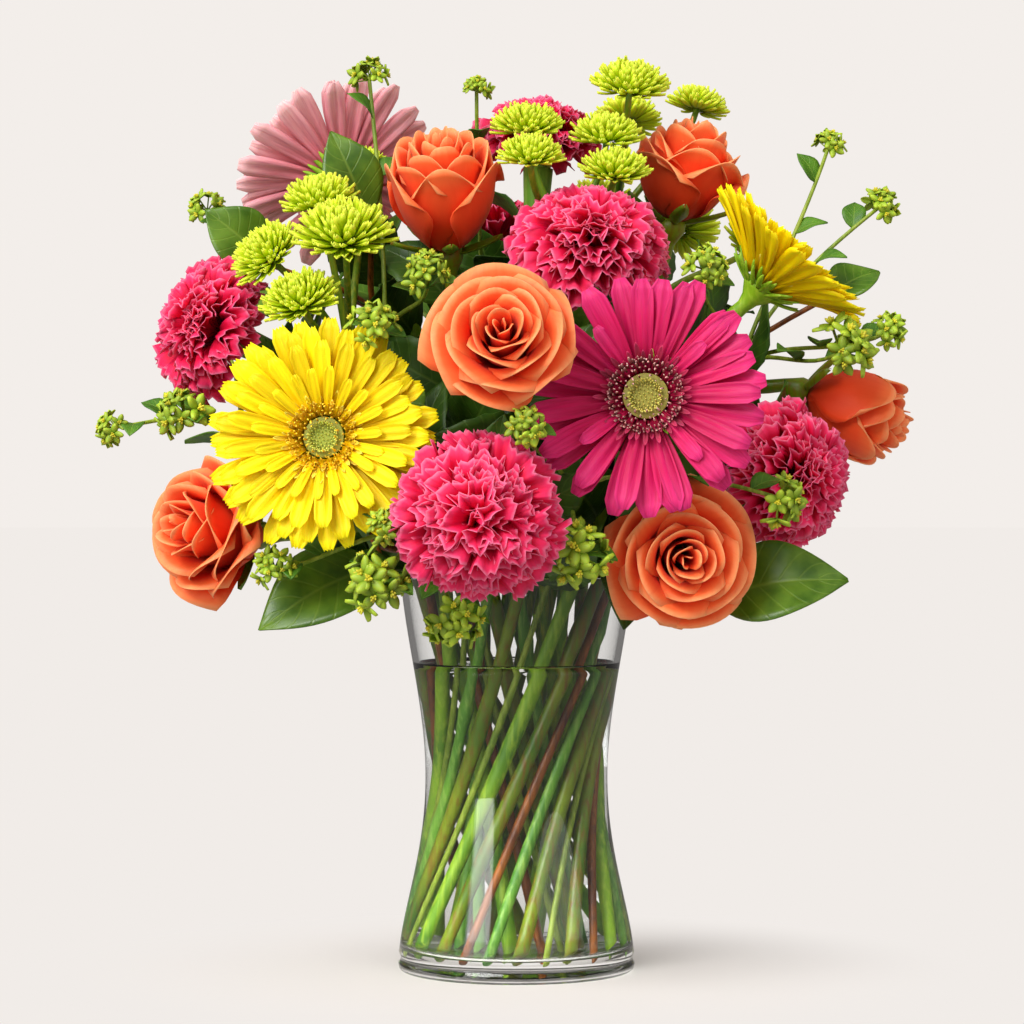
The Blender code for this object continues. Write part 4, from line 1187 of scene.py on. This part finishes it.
def round_ends(ends, flatness):
    """Each head's place, the foot where its twig ends, and the way it faces."""
    made = []
    for place_mm, facing, radius in ends:
        facing = Vector(facing).normalized()
        made.append((metres(place_mm), metres(place_mm) - facing * radius * MM * flatness * 0.15, facing))
    return made


spoons = petal_set("button_spoons",
                   [spoon(f"button_spoon_{k}", (10.6 + 0.7 * k) * MM, 3.0 * MM) for k in range(3)])
for name, (fork, ends) in BUTTON_SPRAYS.items():
    _, stems = spray_stems(name, "button", metres(fork), round_ends(ends, 1.15))
    finish_piece(stems, SKINS["button"], [name])
    heads = []
    for k, (at, facing, radius) in enumerate(ends):
        r, size = radius * MM, radius / 15
        head = whorl(f"{name}_head_{k}", Petals=spoons, Count=170, Turn=GOLDEN_TURN, Crowding=0.62,
                     Radius_In=0.0, Radius_Out=r * 0.36, Height_In=-0.04 * r, Height_Out=-0.24 * r,
                     Lift_In=88, Lift_Out=-8, Size_In=size * 0.78, Size_Out=size * 1.04, Loose_Turn=0.12,
                     Loose_Lift=6, Loose_Size=0.07 * size, Seed=17 * k + len(name), Material=button_tissue)
        heads.append(place(head, metres(at), Vector(facing).normalized()))
    finish_piece(joined(name + "_buttons", heads), button_tissue, [name])
discard(spoons)
print(sum(len(ends) for _, ends in BUTTON_SPRAYS.values()), "buttons")

# %% [markdown]
# ## Leaves
#
# A lemon leaf is broad, pointed and leathery. It is arched along its length, folded a little on its midrib
# and wavy at its edge. The veins leave the midrib in pairs and run forward, and the skin between them swells
# slightly, in patches about a centimetre wide, which breaks up the shine.

# %% Leaves
def leaf_grid(foot, tip, width, upper, rows=18, columns=11, arch=0.10, fold=0.16, teeth=0, wave=0.5):
    """A pointed oval blade from foot to tip."""
    v, u = np.meshgrid(np.linspace(0, 1, rows), np.linspace(-1, 1, columns), indexing="ij")
    along = tip - foot
    side = along.cross(upper).normalized()
    up = side.cross(along).normalized()
    half = np.maximum(0.03, np.sin(np.pi * v ** 0.85) ** 0.8 * (1 - 0.25 * v ** 6)) * width / 2
    if teeth:
        half = half * (1 + 0.07 * (np.arange(rows) % 2)[:, None] * (v > 0.12))
    lift = arch * along.length * np.sin(np.pi * v) + fold * half * np.abs(u)
    lift = lift + wave * 0.05 * width * np.sin(9 * v + 2.2 * np.sign(u)) * np.abs(u) ** 2
    lift = lift - 0.010 * width * np.exp(-(u / 0.12) ** 2)
    spot = np.array(foot) + v[..., None] * np.array(along) + (u * half)[..., None] * np.array(side)
    return spot + lift[..., None] * np.array(up)


def leaf_skin(name, dark, light, vein, rough, pairs=7.0):
    """Waxy leaf: mottled in 11 mm patches, with a pale midrib and pairs of veins that run forward."""
    made, tree, shader = new_material(name)
    across, along, tone = sheet_places(tree)
    spot = add(tree, "ShaderNodeTexCoord").outputs["Object"]
    across = add(tree, "ShaderNodeMath.ABSOLUTE", [add(tree, "ShaderNodeMath.SUBTRACT", [across, 0.5])])
    forward = add(tree, "ShaderNodeMath.SUBTRACT", [add(tree, "ShaderNodeMath.MULTIPLY", [along, pairs]),
                                                    add(tree, "ShaderNodeMath.MULTIPLY", [across, 3.2])])
    off_vein = add(tree, "ShaderNodeMath.SUBTRACT", [add(tree, "ShaderNodeMath.FRACT", [forward]), 0.5])
    off_vein = add(tree, "ShaderNodeMath.ABSOLUTE", [off_vein])
    midrib, side_vein = (
        add(tree, "ShaderNodeMapRange",
            {"Value": away, "From Min": near, "From Max": far, "To Min": strength, "To Max": 0})
        for away, near, far, strength in ((across, 0.006, 0.035, 1.0), (off_vein, 0.02, 0.09, 0.6)))
    veins = add(tree, "ShaderNodeMath.MAXIMUM", [midrib, side_vein])
    mottle = add(tree, "ShaderNodeTexNoise", {"Vector": spot, "Scale": 90.0, "Detail": 3.0})
    body = add(tree, "ShaderNodeValToRGB", [mottle], [(0.32, dark), (0.70, light)])
    share = add(tree, "ShaderNodeMath.MULTIPLY", [veins, 0.4])
    veined = add(tree, "ShaderNodeMix", {0: share, 6: body, 7: linear(vein)}, data_type="RGBA")
    swell = add(tree, "ShaderNodeMath.MULTIPLY", [mottle, 0.5])
    height = add(tree, "ShaderNodeMath.SUBTRACT", [swell, veins])
    feed(tree, shader, {
        "Base Color": toned(tree, veined.outputs[2], tone, 0.72, 1.2),
        "Normal": add(tree, "ShaderNodeBump", {"Height": height, "Strength": 0.35, "Distance": 0.5 * MM}),
        "Roughness": add(tree, "ShaderNodeMapRange",
                         {"Value": mottle, "To Min": rough - 0.06, "To Max": rough + 0.12}),
        "Subsurface Weight": 0.12, "Subsurface Radius": (0.4, 1.0, 0.15), "Subsurface Scale": 0.8 * MM})
    return made


lemon_leaf = leaf_skin("lemon_leaf_skin", "3A600A", "668A1C", "8AA63A", 0.36)
rose_leaf = leaf_skin("rose_leaf_skin", "28480C", "466C14", "6E8A30", 0.42, pairs=9.0)
wax_leaf = leaf_skin("thorow_wax_leaf_skin", "3A6A10", "5E8E1C", "94B040", 0.5, pairs=5.0)

for name, (fork, ends) in LEAF_SPRAYS.items():
    routes = [(metres(tip), metres(foot) + (metres(tip) - metres(foot)).normalized() * 4 * MM,
               (metres(tip) - metres(foot)).normalized()) for foot, tip, _, _ in ends]
    _, stems = spray_stems(name, "leaf", metres(fork), routes)
    finish_piece(stems, SKINS["leaf"], [name])
    grids = [leaf_grid(metres(foot), metres(tip), width * MM, Vector(upper).normalized())
             for foot, tip, width, upper in ends]
    blades = sheets(name + "_blades", grids, [0.3 + 0.25 * k for k in range(len(grids))], 0.6 * MM)
    finish_piece(blades, lemon_leaf, [name])

# %% [markdown]
# The blooms' own stems carry leaves too. They stand on the stems between the vase and the blooms, and fill
# the heart of the bouquet with the dark green that sets the colours off. Each grows from its stem, outwards
# and up, and is left out where it would reach past the blooms.

# %% Leaves on the blooms' stems
HEART, HEART_REACH = Vector((0, 0, 262 * MM)), (130 * MM, 118 * MM, 108 * MM)


def inside_heart(point):
    """Whether a point is in the egg-shaped space under the blooms."""
    return sum(((a - b) / c) ** 2 for a, b, c in zip(point, HEART, HEART_REACH)) < 1


def stem_leaves(bloom, rng, length, width, places):
    """Leaf blades along the upper part of a bloom's stem."""
    route = route_to(bloom["stem"], bloom["base"], bloom["facing"])[16:]
    grids = []
    for share in places:
        k = int(share * (len(route) - 2))
        foot, along = route[k], (route[k + 1] - route[k]).normalized()
        for _ in range(6):
            around = Vector(rng.normal(size=3))
            side = (around - along * around.dot(along)).normalized()
            grow = (along * 0.55 + side * 0.8).normalized()
            tip = foot + grow * length * rng.uniform(0.8, 1.15)
            if inside_heart(tip) and tip.z > 184 * MM:
                upper = (foot - HEART).normalized() + Vector((0, 0, 0.4))
                grids.append(leaf_grid(foot, tip, width * rng.uniform(0.85, 1.1), upper, rows=15, columns=7,
                                       arch=rng.uniform(0.06, 0.16), teeth=1, wave=0.8))
                break
    return grids


rng = np.random.default_rng(5)
for name, bloom in blooms.items():
    grids = stem_leaves(bloom, rng, 52 * MM, 30 * MM, np.linspace(0.04, 0.86, 11))
    if name == "rose_low_right":  # this one also has a leaf that hangs over the vase's rim
        grids.append(leaf_grid(metres((50, -38, 192.5)), metres((46, -86, 157)), 30 * MM,
                               Vector((0.1, -0.9, 0.4))))
    if grids:
        blades = sheets(name + "_stem_leaves", grids, list(rng.random(len(grids))), 0.45 * MM)
        finish_piece(blades, rose_leaf, [bloom["stem"]])
print("stem leaves in place")

# %% [markdown]
# ## Thorow-wax
#
# Thorow-wax is all fine green: an umbel of stalks, each with a star of pointed bracts that holds a few
# tiny yellow flowers, and round leaves that the twigs seem to pass through. Bracts and flowers are dealt
# out by two whorls with the same seed, so that each flower head lands in its own star.

# %% Thorow-wax
def around_x(obj, angle, tilt, at):
    """Turns a part that lies along +X by tilt, then round the X axis, and moves it along X."""
    move = Matrix.Translation((at, 0, 0)) @ Matrix.Rotation(angle, 4, "X") @ Matrix.Rotation(-tilt, 4, "Y")
    obj.data.transform(move)
    return obj


def bract_star(name, seed):
    """A stalk along +X that ends in a star of bracts."""
    rng = np.random.default_rng(seed)
    line = [Vector((x, 0, 0)) for x in np.linspace(0, 7.5 * MM, 4)]
    stalk = tube(name + "_stalk", line, [0.4 * MM] * 4, sides=5)
    bracts = []
    for k in range(5):
        angle, tilt = k * 2 * math.pi / 5 + rng.random() * 0.4, math.radians(rng.uniform(58, 82))
        bracts.append(around_x(floret(f"{name}_bract_{k}", 5.6 * MM, 3.3 * MM, 0.2), angle, tilt, 7.4 * MM))
    return joined(name, [stalk, *bracts])


def flower_cluster(name, seed):
    """The six tiny flowers that stand in a star."""
    rng = np.random.default_rng(seed)
    flowers = [around_x(bud(f"{name}_flower_{k}", 2.2 * MM, 1.1 * MM), k * GOLDEN_TURN,
                        math.radians(12 + 7 * k), 7.6 * MM + rng.random() * 0.5 * MM) for k in range(6)]
    return joined(name, flowers)


def umbel_skin(name, low, high):
    """Soft green skin, paler towards the tip of each bract or flower."""
    made, tree, shader = new_material(name)
    _, along, tone = sheet_places(tree)
    body = add(tree, "ShaderNodeMix", {0: along, 6: linear(low), 7: linear(high)}, data_type="RGBA")
    feed(tree, shader, {"Base Color": toned(tree, body.outputs[2], tone, 0.75, 1.2), "Roughness": 0.55,
                        "Subsurface Weight": 0.12, "Subsurface Scale": 0.6 * MM})
    return made


bract_skin = umbel_skin("thorow_wax_bract_skin", "6A8E10", "B0C832")
flower_skin = umbel_skin("thorow_wax_flower_skin", "A4AC14", "D8CC30")
stars = petal_set("umbel_stars", [bract_star(f"umbel_star_{k}", k) for k in range(3)])
clusters = petal_set("umbel_clusters", [flower_cluster(f"umbel_cluster_{k}", k) for k in range(3)])

for name, (fork, ends) in THOROW_WAX.items():
    lines, stems = spray_stems(name, "thorow_wax", metres(fork), round_ends(ends, 1.2))
    finish_piece(stems, SKINS["thorow_wax"], [name])
    made, grids = {"bracts": [], "flowers": []}, []
    for k, (at, facing, radius) in enumerate(ends):
        r, size = radius * MM, radius / 9.5
        shared = {"Count": 9, "Turn": GOLDEN_TURN, "Crowding": 0.6, "Radius_In": 0.0, "Radius_Out": 0.4 * MM,
                  "Height_In": -0.25 * r, "Height_Out": -0.35 * r, "Lift_In": 88, "Lift_Out": 8,
                  "Size_In": size * 0.95, "Size_Out": size, "Loose_Turn": 0.4, "Loose_Lift": 14,
                  "Loose_Size": 0.12 * size, "Seed": 7 * k + len(name)}
        for part, source, skin in (("bracts", stars, bract_skin), ("flowers", clusters, flower_skin)):
            tuft = whorl(f"{name}_{part}_{k}", Petals=source, Material=skin, **shared)
            made[part].append(place(tuft, metres(at), Vector(facing).normalized()))
        for share in (9, 12):
            foot, along = lines[k][share], (lines[k][share + 1] - lines[k][share]).normalized()
            side = along.cross(Vector((0.3, -0.4, 1.0)).normalized()).normalized() * (1 if share == 9 else -1)
            grow = (along * 0.5 + side * 0.8 + Vector((0, 0, 0.15))).normalized()
            grids.append(leaf_grid(foot, foot + grow * (12 + 0.5 * radius) * MM, (8 + 0.35 * radius) * MM,
                                   Vector((0, -0.5, 0.85)), rows=9, columns=7, arch=0.12, fold=0.25))
    finish_piece(joined(name + "_bracts", made["bracts"]), bract_skin, [name])
    finish_piece(joined(name + "_flowers", made["flowers"]), flower_skin, [name])
    leaves = sheets(name + "_leaves", grids, [0.5] * len(grids), 0.35 * MM)
    finish_piece(leaves, wax_leaf, [name])
discard(stars, clusters)
print(sum(len(ends) for _, ends in THOROW_WAX.values()), "tufts")
